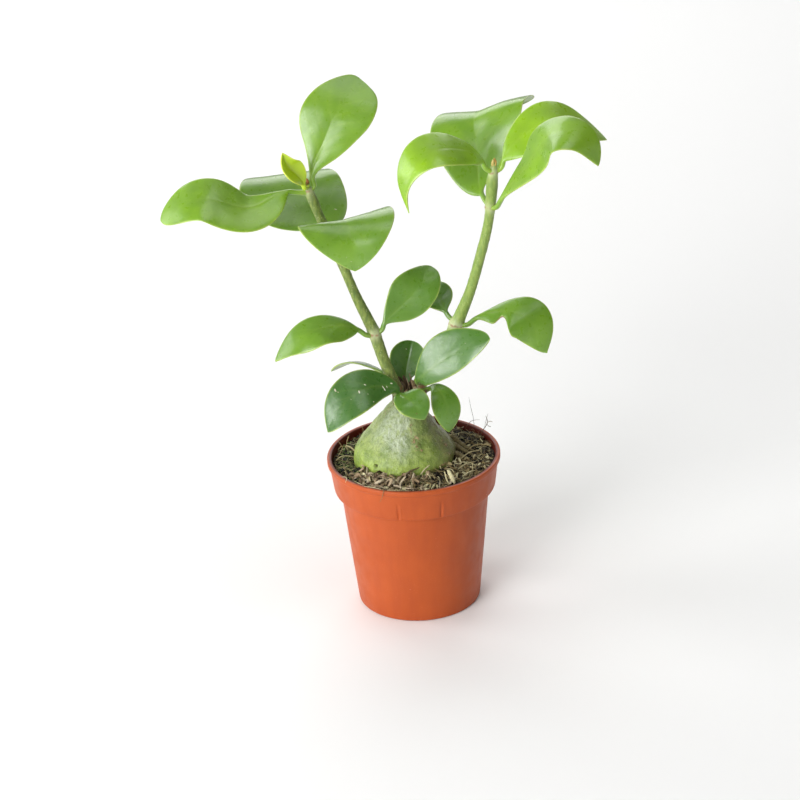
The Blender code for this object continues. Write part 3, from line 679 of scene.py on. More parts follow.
def leaf_surface(shape, shares, columns):
    """Upper and lower points of a leaf as in the part, with veins pressed in, and the values there."""
    points, up, across = leaf_frame(shape, shares)
    blade = np.clip((shares - shape["stalk"]) / (1 - shape["stalk"]), 0.0, 1.0)
    stalk = STALK_RADIUS * (1 - STALK_TAPER * shares)
    flat = np.clip(blade / FLATTENING_LENGTH, 0.0, 1.0) ** FLATTENING_RATE
    thick = 2 * STALK_RADIUS * (1 - flat) + BLADE_THICKNESS * flat
    thick *= np.sqrt(np.clip(1 - blade ** 12, TIP_THINNING, 1.0))
    rounding = STALK_ROUNDING + (MARGIN_ROUNDING - STALK_ROUNDING) * flat
    upper = np.zeros((len(shares), len(columns), 3))
    lower = np.zeros_like(upper)
    tilts = np.zeros_like(upper)
    values = {key: np.zeros(upper.shape[:2]) for key in ("vein", "edge", "wound")}
    for index, x in enumerate(columns):
        half = shape["left"] if x < 0 else shape["right"]
        out = abs(x)
        width = half_width(half, blade)
        reach = out * np.sqrt(width ** 2 + stalk ** 2)
        crease = out / np.sqrt(out ** 2 + (FOLD_SOFTNESS[0] + FOLD_SOFTNESS[1] * blade) ** 2)
        lean = np.radians(half["fold"] * crease + half["curl"] * out / 2) * flat
        height, waves, start = half["wave"]
        ripple = height * MM * out ** 2 * flat * np.sin(2 * np.pi * (waves * blade + start))
        rise = reach * np.sin(lean) + ripple
        middle = points + across * (np.sign(x) * reach * np.cos(lean))[:, None] + up * rise[:, None]
        turn = np.radians(half["fold"] * crease + half["curl"] * out) * flat
        tilt = up * np.cos(turn)[:, None] - across * (np.sign(x) * np.sin(turn))[:, None]
        depth = 0.5 * thick * (1 - x * x) ** rounding
        rib = RIB_HEIGHT * bell(x, 0.0, RIB_WIDTH) * flat * (1 - blade)
        midrib, side_vein = vein_strength(blade, x, width)
        groove = flat * shape["veins"] * (MIDRIB_GROOVE * midrib + SIDE_VEIN_GROOVE * side_vein)
        upper[:, index] = middle + tilt * (depth - groove)[:, None]
        lower[:, index] = middle - tilt * (depth + rib + 0.3 * groove)[:, None]
        tilts[:, index] = tilt
        values["vein"][:, index] = np.clip(0.55 * midrib + 0.3 * side_vein * shape["veins"], 0, 1) * flat
        values["edge"][:, index] = bell((1 - out) * width, 0.0, MARGIN_REACH) * flat
        place, bite, length = half["notch"]
        near = bell(blade, place, 0.9 * length) * (bite > 0)
        values["wound"][:, index] = near * smooth_step(out, *WOUND_EDGE)
    lift = tilts * (lumps(upper, LEAF_LUMPS) * MM * flat[:, None])[..., None]
    return upper + lift, lower + lift, values


def stalk_foot(shape, rings):
    """Rings that carry a stalk on from its first ring, in a smooth bend, into the middle of the stem."""
    _, outward, node, axis = leaf_foot(shape)
    first = rings[0].mean(axis=0)
    along = unit(rings[1].mean(axis=0) - first)
    core = node - axis * 0.5 * MM
    start = unit(outward + 0.5 * axis)
    bend = FOOT_BEND * np.linalg.norm(first - core)
    made = []
    for share in np.linspace(0.0, 1.0, FOOT_ROWS, endpoint=False):
        rest = 1 - share
        place = core * rest ** 3 + (core + start * bend) * 3 * rest ** 2 * share
        place += (first - along * bend) * 3 * rest * share ** 2 + first * share ** 3
        way = unit(start * rest ** 1.5 + along * share)
        turn = Vector(along).rotation_difference(Vector(way)).to_matrix()
        made.append(place + (rings[0] - first) @ np.array(turn).T * (1 + FOOT_FLARE * rest ** 2))
    return np.array(made)


def make_leaf(name, shape, look):
    """A leaf: one closed skin from its stem's wood, along a round stalk and a flat blade, to its tip."""
    even = np.linspace(0.0, 1.0, LEAF_ROWS)
    shares = ROW_EVENNESS * even + (1 - ROW_EVENNESS) * (1 - np.cos(np.pi * even)) / 2
    columns = leaf_columns()
    upper, lower, values = leaf_surface(shape, shares, columns)
    rings = np.concatenate([upper, lower[:, -2:0:-1]], axis=1)
    joint = int(np.searchsorted(shares, max(JOINT_SHARE * shape["stalk"], JOINT_LEAST)))
    rings = np.concatenate([stalk_foot(shape, rings[joint:]), rings[joint:]], axis=0)
    width = len(columns)
    around = rings.shape[1]
    under = np.zeros(rings.shape[:2])
    under[:, width:] = 1.0
    under[:, [0, width - 1]] = 0.5
    full = {"under": under, "fresh": np.full(rings.shape[:2], shape["fresh"])}
    for key, grid in values.items():
        ring = np.concatenate([grid, grid[:, -2:0:-1] * (0.4 if key == "vein" else 1.0)], axis=1)
        full[key] = np.concatenate([np.zeros((FOOT_ROWS, around)), ring[joint:]], axis=0)
    full["stalk"] = np.zeros(rings.shape[:2])
    full["stalk"][:FOOT_ROWS + 4] = np.linspace(1.0, 0.0, FOOT_ROWS + 4)[:, None]
    skin(name + "_fine", rings, look, (name,), full)


def tube_rings(path, radii, sides, twist=0.0):
    """Rings round a path, each turned as little as possible from the one before."""
    path = np.asarray(path, dtype=float)
    along = unit(np.gradient(path, axis=0))
    side_way = np.zeros_like(path)
    start = np.cross(along[0], (0.0, 1.0, 0.3))
    side_way[0] = unit(start)
    for i in range(1, len(path)):
        kept = side_way[i - 1] - along[i] * (side_way[i - 1] @ along[i])
        side_way[i] = unit(kept)
    other = np.cross(along, side_way)
    angle = np.linspace(0.0, 2 * np.pi, sides, endpoint=False) + twist
    ring = side_way[:, None] * np.cos(angle)[:, None] + other[:, None] * np.sin(angle)[:, None]
    radii = np.asarray(radii, dtype=float).reshape(len(path), -1, 1)
    return path[:, None] + ring * radii, ring


# Stems: rows and sides, unevenness, each one's nodes as height, swelling and length, and where wood ends
STEM_ROWS = 300
STEM_SIDES = 40
END_ROWS = 6
STEM_LUMPS = ((1.6, 0.0, 0.07, 1), (0.8, 3.0, 0.05, 0.3))
SCAR_WIDTH = 0.45
PALE_WIDTH = 2.2
NODES_LEFT = ((118.4, 0.16, 1.5), (158.4, 0.14, 1.4), (180.4, 0.12, 1.3), (93.5, 0.1, 2.0))
NODES_RIGHT = ((117.6, 0.2, 2.0), (168.3, 0.12, 1.3), (183.4, 0.14, 1.2), (92.5, 0.1, 2.0))
WOODY_LEFT = 99
WOODY_RIGHT = 101


def domed_end(path, radii):
    """Add a dome to the far end of a tube's path."""
    along = unit(path[-1] - path[-2])
    angle = np.linspace(0.0, 0.47 * np.pi, END_ROWS + 1)[1:]
    dome = path[-1] + along * (radii[-1] * np.sin(angle))[:, None] * 0.9
    return np.vstack([path, dome]), np.concatenate([radii, radii[-1] * np.cos(angle)])


def make_stem(name, points, look, nodes, woody_top):
    """A stem swells at its nodes, which carry corky scars, and is woody below woody_top."""
    spline = natural_spline(np.array(points) * MM, STEM_ROWS)
    path, radii = domed_end(spline[:, :3], spline[:, 3])
    height = path[:, 2] / MM
    swell = sum(amount * bell(height, node, length) for node, amount, length in nodes)
    rings, ring = tube_rings(path, radii * (1 + swell), STEM_SIDES)
    rings = rings + ring * (lumps(rings, STEM_LUMPS) * MM)[..., None]
    mottle = rough_noise(rings, 1.1 * MM, 9.0)
    scar = np.zeros(rings.shape[:2])
    pale = np.zeros(rings.shape[:2])
    for node, amount, length in nodes:
        level = (height - node)[:, None] + 0.9 * rough_noise(rings, 2.5 * MM, node)
        scar += bell(level, 0.0, SCAR_WIDTH) * smooth_step(mottle, -0.35, 0.25)
        pale += 0.75 * bell(level, 0.0, PALE_WIDTH) * amount / 0.2
    woody = smooth_step(-height, -woody_top - 6, -woody_top + 6)[:, None] * smooth_step(mottle, -0.5, 0.5)
    values = {"scar": np.clip(scar, 0, 1), "pale": np.clip(pale, 0, 0.9), "woody": woody}
    skin(name + "_fine", rings, look, (name,), values)


# Caudex: rows and columns, the crown above its profile, and its lumps as size, seed, rise on the body,
# what the neck adds to that, and squeeze in height
CAUDEX_ROWS = 190
CAUDEX_COLUMNS = 260
CROWN = ((89.2, 4.9, -0.5), (90.1, 3.7, -0.3), (90.7, 2.2, -0.2), (90.9, 0.4, -0.2))
CAUDEX_LUMPS = (
    (0.85, 0.0, 0.06, 0.16, 0.16),
    (2.3, 4.0, 0.10, 0.22, 0.16),
    (5.5, 2.0, 0.5, -0.25, 1.0),
    (2.0, 7.0, 0.24, -0.144, 1.0),
)
# Marks on its skin: degrees to the right of the front, height, radius and how far they stand out. A scar
# has a half width and a half length instead, and the pit goes in
CAUDEX_WARTS = (
    (-21, 72.8, 0.9, 0.35), (22, 73.5, 1.0, 0.3), (26, 76.8, 0.8, 0.3), (18, 78.5, 0.7, 0.25),
    (5, 68.4, 1.3, 0.35), (-33, 70.2, 1.0, 0.25), (-8, 66.5, 1.6, 0.35), (38, 69.5, 1.1, 0.3),
    (-48, 67.0, 1.4, 0.4), (60, 67.2, 1.5, 0.45), (-62, 69.5, 1.0, 0.3), (12, 81.5, 0.6, 0.2),
    (110, 72.0, 1.3, 0.4), (150, 68.0, 1.6, 0.4), (-120, 70.0, 1.4, 0.4), (-160, 75.0, 1.0, 0.3),
    (-28, 64.6, 1.6, 0.4), (24, 65.4, 1.7, 0.4), (178, 70.5, 1.4, 0.35), (82, 76.0, 0.9, 0.3),
)
CAUDEX_SCARS = (
    (21, 75.2, 1.7, 3.2), (26, 72.4, 1.0, 1.4), (60, 67.0, 2.2, 1.8), (16, 79.8, 0.7, 1.6),
    (68, 70.6, 1.2, 1.6), (48, 64.2, 2.6, 1.2), (-70, 84.5, 1.2, 1.6), (130, 74.0, 1.5, 2.0),
)
CAUDEX_PIT = (-34, 66.9, 0.62, 0.9)


def caudex_at(height):
    """Half width and axis of the caudex at heights in metres, with the crown that carries the stems."""
    rows = np.array(CAUDEX_PROFILE + CROWN) * MM
    curve = natural_spline(rows, 400)
    return np.interp(height, curve[:, 0], curve[:, 1]), np.interp(height, curve[:, 0], curve[:, 2])


def make_caudex(look):
    """The swollen base, with lobes, lumps, upright wrinkles, warts and marks on its skin."""
    low, high = CAUDEX_PROFILE[0][0] * MM, CROWN[-1][0] * MM
    even = np.linspace(0.0, 1.0, CAUDEX_ROWS)
    height = low + (high - low) * (0.8 * even + 0.2 * (1 - (1 - even) ** 3))
    half, axis = caudex_at(height)
    around = np.linspace(-np.pi, np.pi, CAUDEX_COLUMNS, endpoint=False)
    above = np.clip((height - SOIL_LEVEL) / LOBE_FADE, 0.0, 1.0)[:, None]
    turned = around - np.pi / 2
    lobes = sum(share * np.cos(count * turned + start) for count, share, start in CAUDEX_LOBES)
    radius = half[:, None] * (1 + above * lobes[None, :])
    flat = np.stack([np.sin(around), -CAUDEX_DEPTH * np.cos(around)], axis=1)
    rings = np.zeros((CAUDEX_ROWS, CAUDEX_COLUMNS, 3))
    rings[..., 0] = axis[:, None] + radius * flat[:, 0]
    rings[..., 1] = radius * flat[:, 1]
    rings[..., 2] = height[:, None]
    outward = np.zeros_like(rings)
    outward[..., :2] = unit(flat)[None]
    tall = height[:, None] / MM
    degrees = np.degrees(around)[None, :]
    neck = smooth_step(tall, 76, 86)
    lift = sum(rough_noise(rings * (1, 1, squeeze), size * MM, seed) * (rise + more * neck)
               for size, seed, rise, more, squeeze in CAUDEX_LUMPS)
    lift -= 0.12 * (1 - np.abs(rough_noise(rings * (1, 1, 2.5), 1.4 * MM, 6.0)) ** 0.5) * (1 - neck)
    scar = np.zeros(rings.shape[:2])
    pit = np.zeros(rings.shape[:2])
    mottle = rough_noise(rings, 0.9 * MM, 11.0)

    def away(right, level):
        turn = (degrees - right + 180) % 360 - 180
        return np.radians(turn) * half[:, None] / MM, tall - level

    for right, level, size, rise in CAUDEX_WARTS:
        aside, up = away(right, level)
        lift += rise * np.exp(-(aside ** 2 + up ** 2) / size ** 2)
    for right, level, wide, long in CAUDEX_SCARS:
        aside, up = away(right, level)
        shape = np.exp(-((aside / wide) ** 2 + (up / long) ** 2) ** 2)
        scar += shape * smooth_step(mottle, 0.0, 0.35)
    lift += 0.16 * scar
    # The pit: a shallow dent with a raised rim, its dark colour painted shade
    right, level, size, deep = CAUDEX_PIT
    aside, up = away(right, level)
    pit += np.exp(-((aside ** 2 + up ** 2) / size ** 2) ** 1.5)
    lift += 0.35 * np.exp(-(np.sqrt(aside ** 2 + up ** 2) - 1.1) ** 2 / 0.4) - deep * pit
    lift = lift * MM * smooth_step(tall, 47, 52) * smooth_step(-tall, -90.8, -89)
    rings = rings + outward * lift[..., None]
    # Silvery: painted highlight high at the front left and in a band left of the front; wax at the back
    wax_and_highlight = bell(degrees, -28, 42) * smooth_step(tall, 70, 80)
    wax_and_highlight += 0.75 * bell(degrees, -6, 16) * smooth_step(tall, 64, 72)
    wax_and_highlight += 0.6 * bell(np.abs(degrees), 180, 60) * smooth_step(tall, 68, 82)
    brown = smooth_step(degrees, 28, 80) * smooth_step(-degrees, -150, -110) * 0.85
    brown = np.maximum(brown, smooth_step(tall, 86.5, 89.5))
    # Greener low down all round, and more at the front left: painted light where the key light falls
    green_low_and_lit_left = smooth_step(-tall, -74, -64) * (0.6 + 0.4 * bell(degrees, -45, 50))
    values = {"wax_and_highlight": np.clip(wax_and_highlight * (1 - brown), 0, 0.9), "brown": brown, "green_low_and_lit_left": green_low_and_lit_left,
              "scar": np.clip(scar, 0, 1), "pit": pit}
    values = {key: np.broadcast_to(grid, rings.shape[:2]) for key, grid in values.items()}
    skin("caudex_fine", rings, look, ("caudex",), values)


def wall_inside(height):
    """The radius of the pot's inner wall at a height in its collar."""
    share = (height - COLLAR_FOOT) / (POT_HEIGHT - RIM_DEPTH - COLLAR_FOOT)
    return COLLAR_FOOT_RADIUS + (COLLAR_TOP_RADIUS - COLLAR_FOOT_RADIUS) * share - POT_WALL


def soil_height(x, y):
    """The soil's height at places in metres: lumps, a bank before the caudex and one at the right back."""
    x, y = np.asarray(x, dtype=float), np.asarray(y, dtype=float)
    points = np.stack([x, y, np.zeros_like(x)], axis=-1)
    relief = lumps(points, SOIL_LUMPS)
    _, axis = caudex_at(SOIL_LEVEL)
    away = np.hypot(x - axis, y / CAUDEX_DEPTH) / MM
    right = np.degrees(np.arctan2(x - axis, -y))
    bank = 2.3 * bell(away, 20.5, 4.2) * smooth_step(np.cos(np.radians(right)), -0.1, 0.7)
    back = 2.4 * bell(x / MM, 21, 9) * bell(y / MM, 14, 10)
    edge = smooth_step(np.hypot(x, y) / MM, 29.5, 33)
    return SOIL_LEVEL + MM * (relief + bank * (1 - 0.8 * edge) + back * (1 - 0.7 * edge) - 0.5)


def make_soil(look):
    """The fill of the pot: its hole for the caudex, its lumpy top and its plain outside to the floor."""
    around = np.linspace(0.0, 2 * np.pi, SOIL_COLUMNS, endpoint=False)
    cos, sin = np.cos(around), np.sin(around)

    def caudex_ring(height, grow):
        half, axis = caudex_at(height)
        x, y = axis + (half + grow) * cos, CAUDEX_DEPTH * (half + grow) * sin
        return np.stack([x, y, np.full_like(x, height)], axis=1)

    def round_ring(radius, height):
        return np.stack([radius * cos, radius * sin, np.full_like(cos, height)], axis=1)

    caudex_foot, foot_radius = CAUDEX_PROFILE[0][0] * MM, CAUDEX_PROFILE[0][1] * MM
    rings = [caudex_ring(caudex_foot, NEAR_AXIS - foot_radius)]
    rings[0][:, 2] = caudex_foot - SOIL_GAP
    for height in np.linspace(caudex_foot, SOIL_LEVEL, 12)[:-1]:
        rings.append(caudex_ring(height, SOIL_GAP))
    inner = caudex_ring(SOIL_LEVEL, SOIL_GAP * 0.5)
    outer = round_ring(wall_inside(SOIL_LEVEL) - 0.15 * MM, SOIL_LEVEL)
    for share in np.linspace(0.0, 1.0, SOIL_ROWS):
        ring = inner + (outer - inner) * share
        ring[:, 2] = soil_height(ring[:, 0], ring[:, 1])
        rings.append(ring)
    rings.append(round_ring(COLLAR_FOOT_RADIUS - POT_WALL - SOIL_GAP, COLLAR_FOOT + COLLAR_STEP))
    rings.append(round_ring(BODY_TOP_RADIUS - POT_WALL - SOIL_GAP, COLLAR_FOOT - 0.4 * MM))
    rings.append(round_ring(FOOT_RADIUS - POT_WALL - SOIL_GAP, FLOOR_THICKNESS + 1.0 * MM))
    rings.append(round_ring(FOOT_RADIUS - POT_WALL - 1.0 * MM, FLOOR_THICKNESS + SOIL_GAP))
    rings.append(round_ring(0.05 * MM, FLOOR_THICKNESS + SOIL_GAP))
    rings = np.array(rings)
    shade = 0.35 + lumps(rings, SOIL_MOTTLE)
    skin("soil_fine", rings, look, ("soil",), {"shade": np.clip(shade, 0, 1)})


# Litter strewn on the soil: count, lengths, widths, flatness, curl, lift, shades, and a bit's rows and sides
LITTER_SEED = 7
CRUMBS = 1500
STREWN = {
    "soil_needles": (1350, (1.6, 7.5), (0.11, 0.25), 0.8, 0.7, 1.6, (0.45, 0.42), 7, 5),
    "soil_chips": (330, (1.6, 5.0), (0.5, 1.5), 0.22, 0.6, 1.8, (0.62, 0.34), 9, 8),
    "soil_curls": (150, (2.6, 6.5), (0.8, 2.1), 0.14, 2.6, 2.6, (0.62, 0.3), 14, 8),
    "soil_moss": (330, (0.8, 2.6), (0.25, 0.7), 0.6, 1.5, 1.2, (0.45, 0.3), 7, 5),
}
# Bits with places of their own: points, width, flatness and shade. First the straws and hairs on the soil
SINGLE_BITS = (
    (((-32, -0.7, 62), (-29.6, 0.4, 63.6), (-26.8, 1.4, 63.4), (-24, 2, 62.4)), 0.42, 1, 0.75),
    (((-27.3, 13, 61.2), (-26.9, 13.2, 64), (-25.9, 13, 66.9)), 0.36, 1, 0.6),
    (((-28.4, 11.6, 61.2), (-29.4, 11.8, 63.4), (-30.6, 11.9, 65.6)), 0.3, 1, 0.4),
    (((-26.4, 9, 62), (-27.4, 9.4, 64), (-25.6, 8.6, 63.8),
      (-23.6, 6.4, 62.6), (-22.6, 4.6, 62)), 0.6, 1, 0.7),
    (((-27.4, 9.4, 63.6), (-29.2, 8.8, 64.2), (-30.6, 7.8, 63)), 0.3, 1, 0.55),
    (((-20.8, 25, 61.5), (-20.2, 25.2, 63.4), (-20.9, 25, 65.2)), 0.24, 1, 0.5),
    (((-32.2, -9, 61.8), (-30, -8.4, 63.2), (-27.6, -8.8, 63.2), (-24.4, -12.4, 62.2)), 0.34, 1, 0.6),
    (((-27.7, -3.5, 62), (-28.2, -8, 63.4), (-27.2, -12.7, 63), (-25.6, -17, 62.4)), 0.3, 1, 0.5),
    (((-31, 3.4, 62), (-29.4, 4, 64.2), (-28.6, 5.8, 65.4)), 0.26, 1, 0.65),
    (((-4.6, -23, 62.4), (-3.6, -21.8, 64.4), (-1.4, -20.8, 66.4),
      (0.6, -20.4, 66.9), (2, -20.2, 67.4)), 1, 0.7, 0.12),
    (((-1.4, -20.9, 66.2), (-1.6, -22, 64.6), (-3.2, -22.8, 62.8)), 0.8, 0.7, 0.2),
    (((2.4, -21.4, 64.8), (4.2, -20.7, 66.6), (6.2, -20.1, 68.3)), 1.9, 0.18, 0.85),
    (((15.8, -24.8, 61.6), (14.8, -23.2, 64), (13.2, -21.4, 66.4)), 2.1, 0.35, 0.95),
    (((13.4, -25.6, 62.2), (12.4, -24, 64.4), (12, -22.4, 66)), 0.8, 0.4, 0.8),
    (((19, -20, 62.2), (21.6, -18.6, 63.4), (24.2, -17.6, 63.6)), 1.5, 0.3, 0.9),
    (((17, -14.4, 62.4), (20, -13.4, 64.2), (24.6, -10.6, 64)), 0.7, 0.5, 0.8),
    (((22.4, -8, 62.4), (23.4, -12, 64), (23, -17.4, 62.8)), 0.5, 0.9, 0.7),
    (((21.6, 0.6, 63.2), (25.4, 3.4, 64.6), (30.4, 4.6, 63.4)), 0.5, 0.8, 0.6),
    (((18, -7.2, 63), (22.8, -3.6, 64.8), (27.4, -1.2, 64.2)), 0.9, 0.4, 0.75),
    (((25.6, 21, 62.4), (25.4, 21, 68), (24.5, 21.2, 73.2), (23.9, 21.3, 77.6)), 0.17, 1, 0.1),
    (((27.6, 14.6, 62.4), (29.2, 15, 65.8), (30.9, 15.5, 68.6), (30.3, 15.7, 71.6)), 0.3, 1, 0.15),
    (((30.8, 15.5, 68.4), (32, 15.8, 68.9), (33.2, 15.9, 68.4)), 0.34, 0.6, 0.35),
    (((30.6, 15.4, 68.2), (31.4, 15.2, 67), (32.4, 15, 66.8)), 0.22, 1, 0.2),
    (((29.6, 15.1, 66.4), (30.6, 17, 69.4), (31.4, 18, 71.4)), 0.16, 1, 0.15),
    (((22, 23.6, 62.4), (24.6, 22.4, 66.2), (28, 20.4, 67.6)), 0.2, 1, 0.3),
    (((-11.8, -31.2, 63.4), (-12.5, -33.2, 64.5), (-13.1, -33.6, 62.4), (-14.3, -32.6, 59.2)), 0.24, 1, 0.3),
    (((-24.6, -22.4, 64.1), (-23, -25, 64.6), (-20.4, -27.6, 64.3)), 0.3, 0.6, 0.8),
    (((-20.2, -28.2, 64.2), (-16.6, -30.6, 64.8), (-13.4, -31.6, 64.2)), 0.34, 0.6, 0.95),
    (((-29, -18.6, 64.1), (-27.2, -20.6, 64.7), (-27.6, -23.4, 64)), 0.24, 1, 0.9),
    (((-11, -32.6, 64.2), (-7.4, -33.6, 64.7), (-4.6, -33.2, 64.2)), 0.4, 0.5, 0.7),
)
# Woody roots that leave the caudex, each with its widths from end to end
ROOTS = (
    (((15, 4.2, 68.6), (18, 4, 66), (21.8, 3, 63.8), (26.2, 1, 62)), (6, 3, 1.5, 0.9)),
    (((15.6, 1.6, 67), (18.8, 0.8, 64.8), (22.4, -0.6, 63.2), (25, -2.6, 62.2)), (4.4, 2.2, 1.2, 0.7)),
    (((15.6, -3, 64.6), (19.6, -3.6, 62.8), (23.4, -5.4, 61)), (5, 2.8, 1.4)),
    (((-13, 12, 64.4), (-16.8, 14.8, 62.4), (-20.2, 17.8, 60.8)), (5, 2.6, 1.4)),
)
# Dry scales in the crown
CROWN_SCALES = (
    (((-1.6, -2.2, 90.2), (-2.2, -3.8, 92.6), (-1.4, -5, 94.6)), 1.9, 0.2, 0.3),
    (((0.4, -2.4, 90.4), (0.8, -4.2, 92.4), (0.2, -5.6, 93.8)), 1.7, 0.2, 0.75),
    (((-3.2, -2, 90.6), (-4.6, -3.8, 92.8), (-4.6, -5.4, 94.2)), 1.6, 0.22, 0.1),
    (((1.6, -1, 90.6), (2.4, -3, 93), (2, -4, 95.4)), 1.5, 0.2, 0.5),
    (((-0.8, -1, 90.6), (-1, -1.8, 93.6), (-0.2, -2.6, 96)), 1.8, 0.2, 0.15),
    (((-2.6, 0.4, 90.6), (-2.4, 1, 93.4), (-3.2, 0.6, 95.8)), 1.9, 0.2, 0.25),
    (((0.6, 1, 90.6), (-0.2, 1.4, 93), (0.4, 1.2, 95.4)), 1.9, 0.2, 0.05),
    (((-0.6, -3.4, 92), (0.6, -5, 93.8), (1.6, -6.4, 96.4)), 0.55, 0.5, 1),
    (((-1.8, -4, 92.2), (-2.2, -5.2, 93.4), (-1.2, -6, 94.2)), 1, 0.35, 0.9),
    (((3.6, -2.6, 90.4), (5.4, -4.4, 92), (6.4, -4.6, 94.2)), 1.4, 0.22, 0.2),
    (((-5.6, -2.8, 88.6), (-7, -4.6, 90.6), (-7.2, -5.6, 92.8)), 1.3, 0.25, 0.35),
    (((-6, -4, 87), (-7, -4.6, 88.6), (-7.8, -4.6, 90)), 0.8, 0.3, 0.6),
    (((1, 3.6, 90.4), (0.2, 4.8, 92.2), (0.6, 5.8, 94.4)), 1.6, 0.2, 0.3),
    (((-1.4, 1, 90.4), (-1.8, 2.4, 94), (-2.6, 2.6, 97.4)), 2.2, 0.2, 0.1),
    (((0.4, 2, 90.4), (0.6, 3, 94), (-0.2, 3.4, 98)), 2.2, 0.2, 0.2),
    (((-2.4, 2, 90.4), (-3.4, 3, 94), (-4.6, 3, 97)), 2, 0.2, 0),
    (((1.6, 0.4, 90.8), (1.6, -0.6, 94), (0.6, -1.4, 97)), 2, 0.2, 0.35),
    (((-0.2, 0, 91), (-0.6, -0.4, 94.6), (-1.4, -0.8, 97.6)), 1.8, 0.2, 0.6),
)
# Scales round the buds at the stems' tips
APEX_SCALES = (
    (((-36.5, -3.2, 181.6), (-37.4, -4.2, 183.6), (-37.2, -4.6, 185.6)), 1.5, 0.45, 0.7),
    (((-36.6, -3.2, 181.6), (-36.2, -4, 183.4), (-36.6, -4.4, 184.8)), 1.2, 0.45, 0.35),
    (((-36.4, -3, 181.6), (-35.8, -2.2, 183.6), (-36.2, -2, 185)), 1.3, 0.45, 0.2),
    (((36.2, 0.2, 185), (35.8, -0.8, 187), (36, -0.8, 188.6)), 1.3, 0.5, 0.8),
    (((36.4, 0.2, 185), (37, -0.6, 186.8), (37.2, -0.4, 188)), 1.1, 0.5, 0.6),
    (((36.4, 0.4, 185), (36.8, 1.2, 186.8), (36.4, 1.4, 188.4)), 1.2, 0.5, 0.5),
)
# Scars and dry flecks on the leaves: place, length, width, turn in degrees and shade
LEAF_FLECKS = {
    "leaf_base_back": (
        ((-0.9, 13.4, 104.2), 0.9, 0.6, 30, 0.9),
    ),
    "leaf_base_front": (
        ((1.9, -15.7, 89), 0.8, 0.6, 10, 0.1),
    ),
    "leaf_base_left": (
        ((-29.7, -14.4, 100.4), 1.9, 0.9, 60, 0.7),
        ((-28.6, -14.9, 99.6), 0.9, 0.5, 20, 0.5),
        ((-20.3, -14.9, 99.3), 1.8, 1, 75, 1),
        ((-17.9, -12.1, 101), 1.5, 0.7, 40, 0.9),
        ((-10.5, -9.5, 97.8), 3, 0.6, 80, 1),
        ((-9.2, -8.6, 98), 1.5, 0.4, 95, 0.8),
        ((-7.5, -6.8, 98.6), 1.3, 0.7, 30, 0.9),
        ((-14.8, -16.9, 95.7), 0.9, 0.5, 10, 0.6),
        ((-16.8, -15, 98.3), 0.7, 0.4, 50, 0.8),
        ((-23.6, -17.4, 97.4), 0.6, 0.4, 0, 0.7),
    ),
    "leaf_base_right": (
        ((22.4, -11, 116.3), 0.5, 0.3, 20, 0.7),
    ),
    "leaf_left_back": (
        ((-26, 11.1, 166.7), 1.6, 0.35, 25, 0.9),
    ),
    "leaf_left_front": (
        ((-20.4, -25.3, 159.2), 0.45, 0.3, 0, 0.9),
        ((-17.7, -25.4, 156.8), 0.4, 0.3, 40, 0.8),
        ((-22.1, -25.2, 160.9), 0.35, 0.3, 80, 0.9),
    ),
}
# A fleck's reach as shares of its length and width, its thickness, and its section from top to bottom
FLECK_REACH = (0.36, 0.3)
FLECK_THICKNESS = 0.12 * MM
FLECK_SECTION = ((0.2, 1.0), (0.7, 0.9), (1.0, 0.35), (1.0, -0.35), (0.7, -0.9), (0.2, -1.0))


def bit_rings(points, width, flat, twist, rows, sides):
    """A bit of straw, root or scale: a tapered tube through points in metres, flattened to a strip."""
    path = natural_spline(np.asarray(points), rows)
    place = np.linspace(0.0, 1.0, rows)
    widths = np.interp(place, np.linspace(0, 1, np.size(width)), np.atleast_1d(width)) * MM / 2
    taper = np.clip(np.sin(np.pi * np.clip(place, 0.035, 0.965)), 0, 1) ** 0.35
    angle = np.linspace(0.0, 2 * np.pi, sides, endpoint=False)
    round_share = 1 / np.sqrt(np.cos(angle) ** 2 + (np.sin(angle) / flat) ** 2)
    rings, ring = tube_rings(path, (widths * taper)[:, None] * round_share[None, :], sides, twist)
    return rings + ring * (rough_noise(rings, 0.5 * MM, twist) * widths.max() * 0.25)[..., None]


def bundle(name, bits, look):
    """One mesh of many closed skins, each with its own shade."""
    points, faces, shades, start = [], [], [], 0
    for rings, shade in bits:
        rows, columns, _ = rings.shape
        faces += skin_faces(rows, columns, start)
        points.append(rings.reshape(-1, 3))
        shades.append(np.full(rows * columns, shade))
        start += rows * columns
    piece(name, np.concatenate(points), faces, look, (), {"shade": np.concatenate(shades)})


def fixed_bits(name, table, look, sides, twist, turn=0.0, rows=20):
    """Bits with places of their own, each turned on its line by turn radians more than the one before."""
    bits = [(bit_rings(np.array(points) * MM, width, flat, twist + turn * index, rows, sides), shade)
            for index, (points, width, flat, shade) in enumerate(table)]
    bundle(name, bits, look)


def scatter(rng, count, weight):
    """Places on the soil between the caudex and the wall, more of them where weight(x, y) nears 1."""
    found = []
    reach = wall_inside(SOIL_LEVEL) - 1.0 * MM
    half, axis = caudex_at(SOIL_LEVEL + 3 * MM)
    while len(found) < count:
        x, y = rng.uniform(-reach, reach, 2)
        inside = np.hypot(x - axis, y / CAUDEX_DEPTH) < half + 0.4 * MM
        if np.hypot(x, y) < reach and not inside and rng.random() < weight(x / MM, y / MM):
            found.append((x, y))
    return np.array(found)


def front_heap(x, y):
    """The heap of papery bits before the caudex, a little to the left."""
    return float(bell(x, -10, 13) * smooth_step(-y, 10, 18))


def front_right(x, y):
    return float(bell(x, 20, 11) * bell(y, -13, 12))


def near_heaps(x, y):
    return 0.12 + front_right(x, y) + 0.5 * front_heap(x, y)


def everywhere(x, y):
    return 0.4 + 0.6 * max(front_right(x, y), 0.4 * front_heap(x, y))


def at_left(x, y):
    return float(np.clip(bell(x, -28, 7) + 0.7 * bell(x, 8, 12) * bell(y, -26, 5), 0, 1))


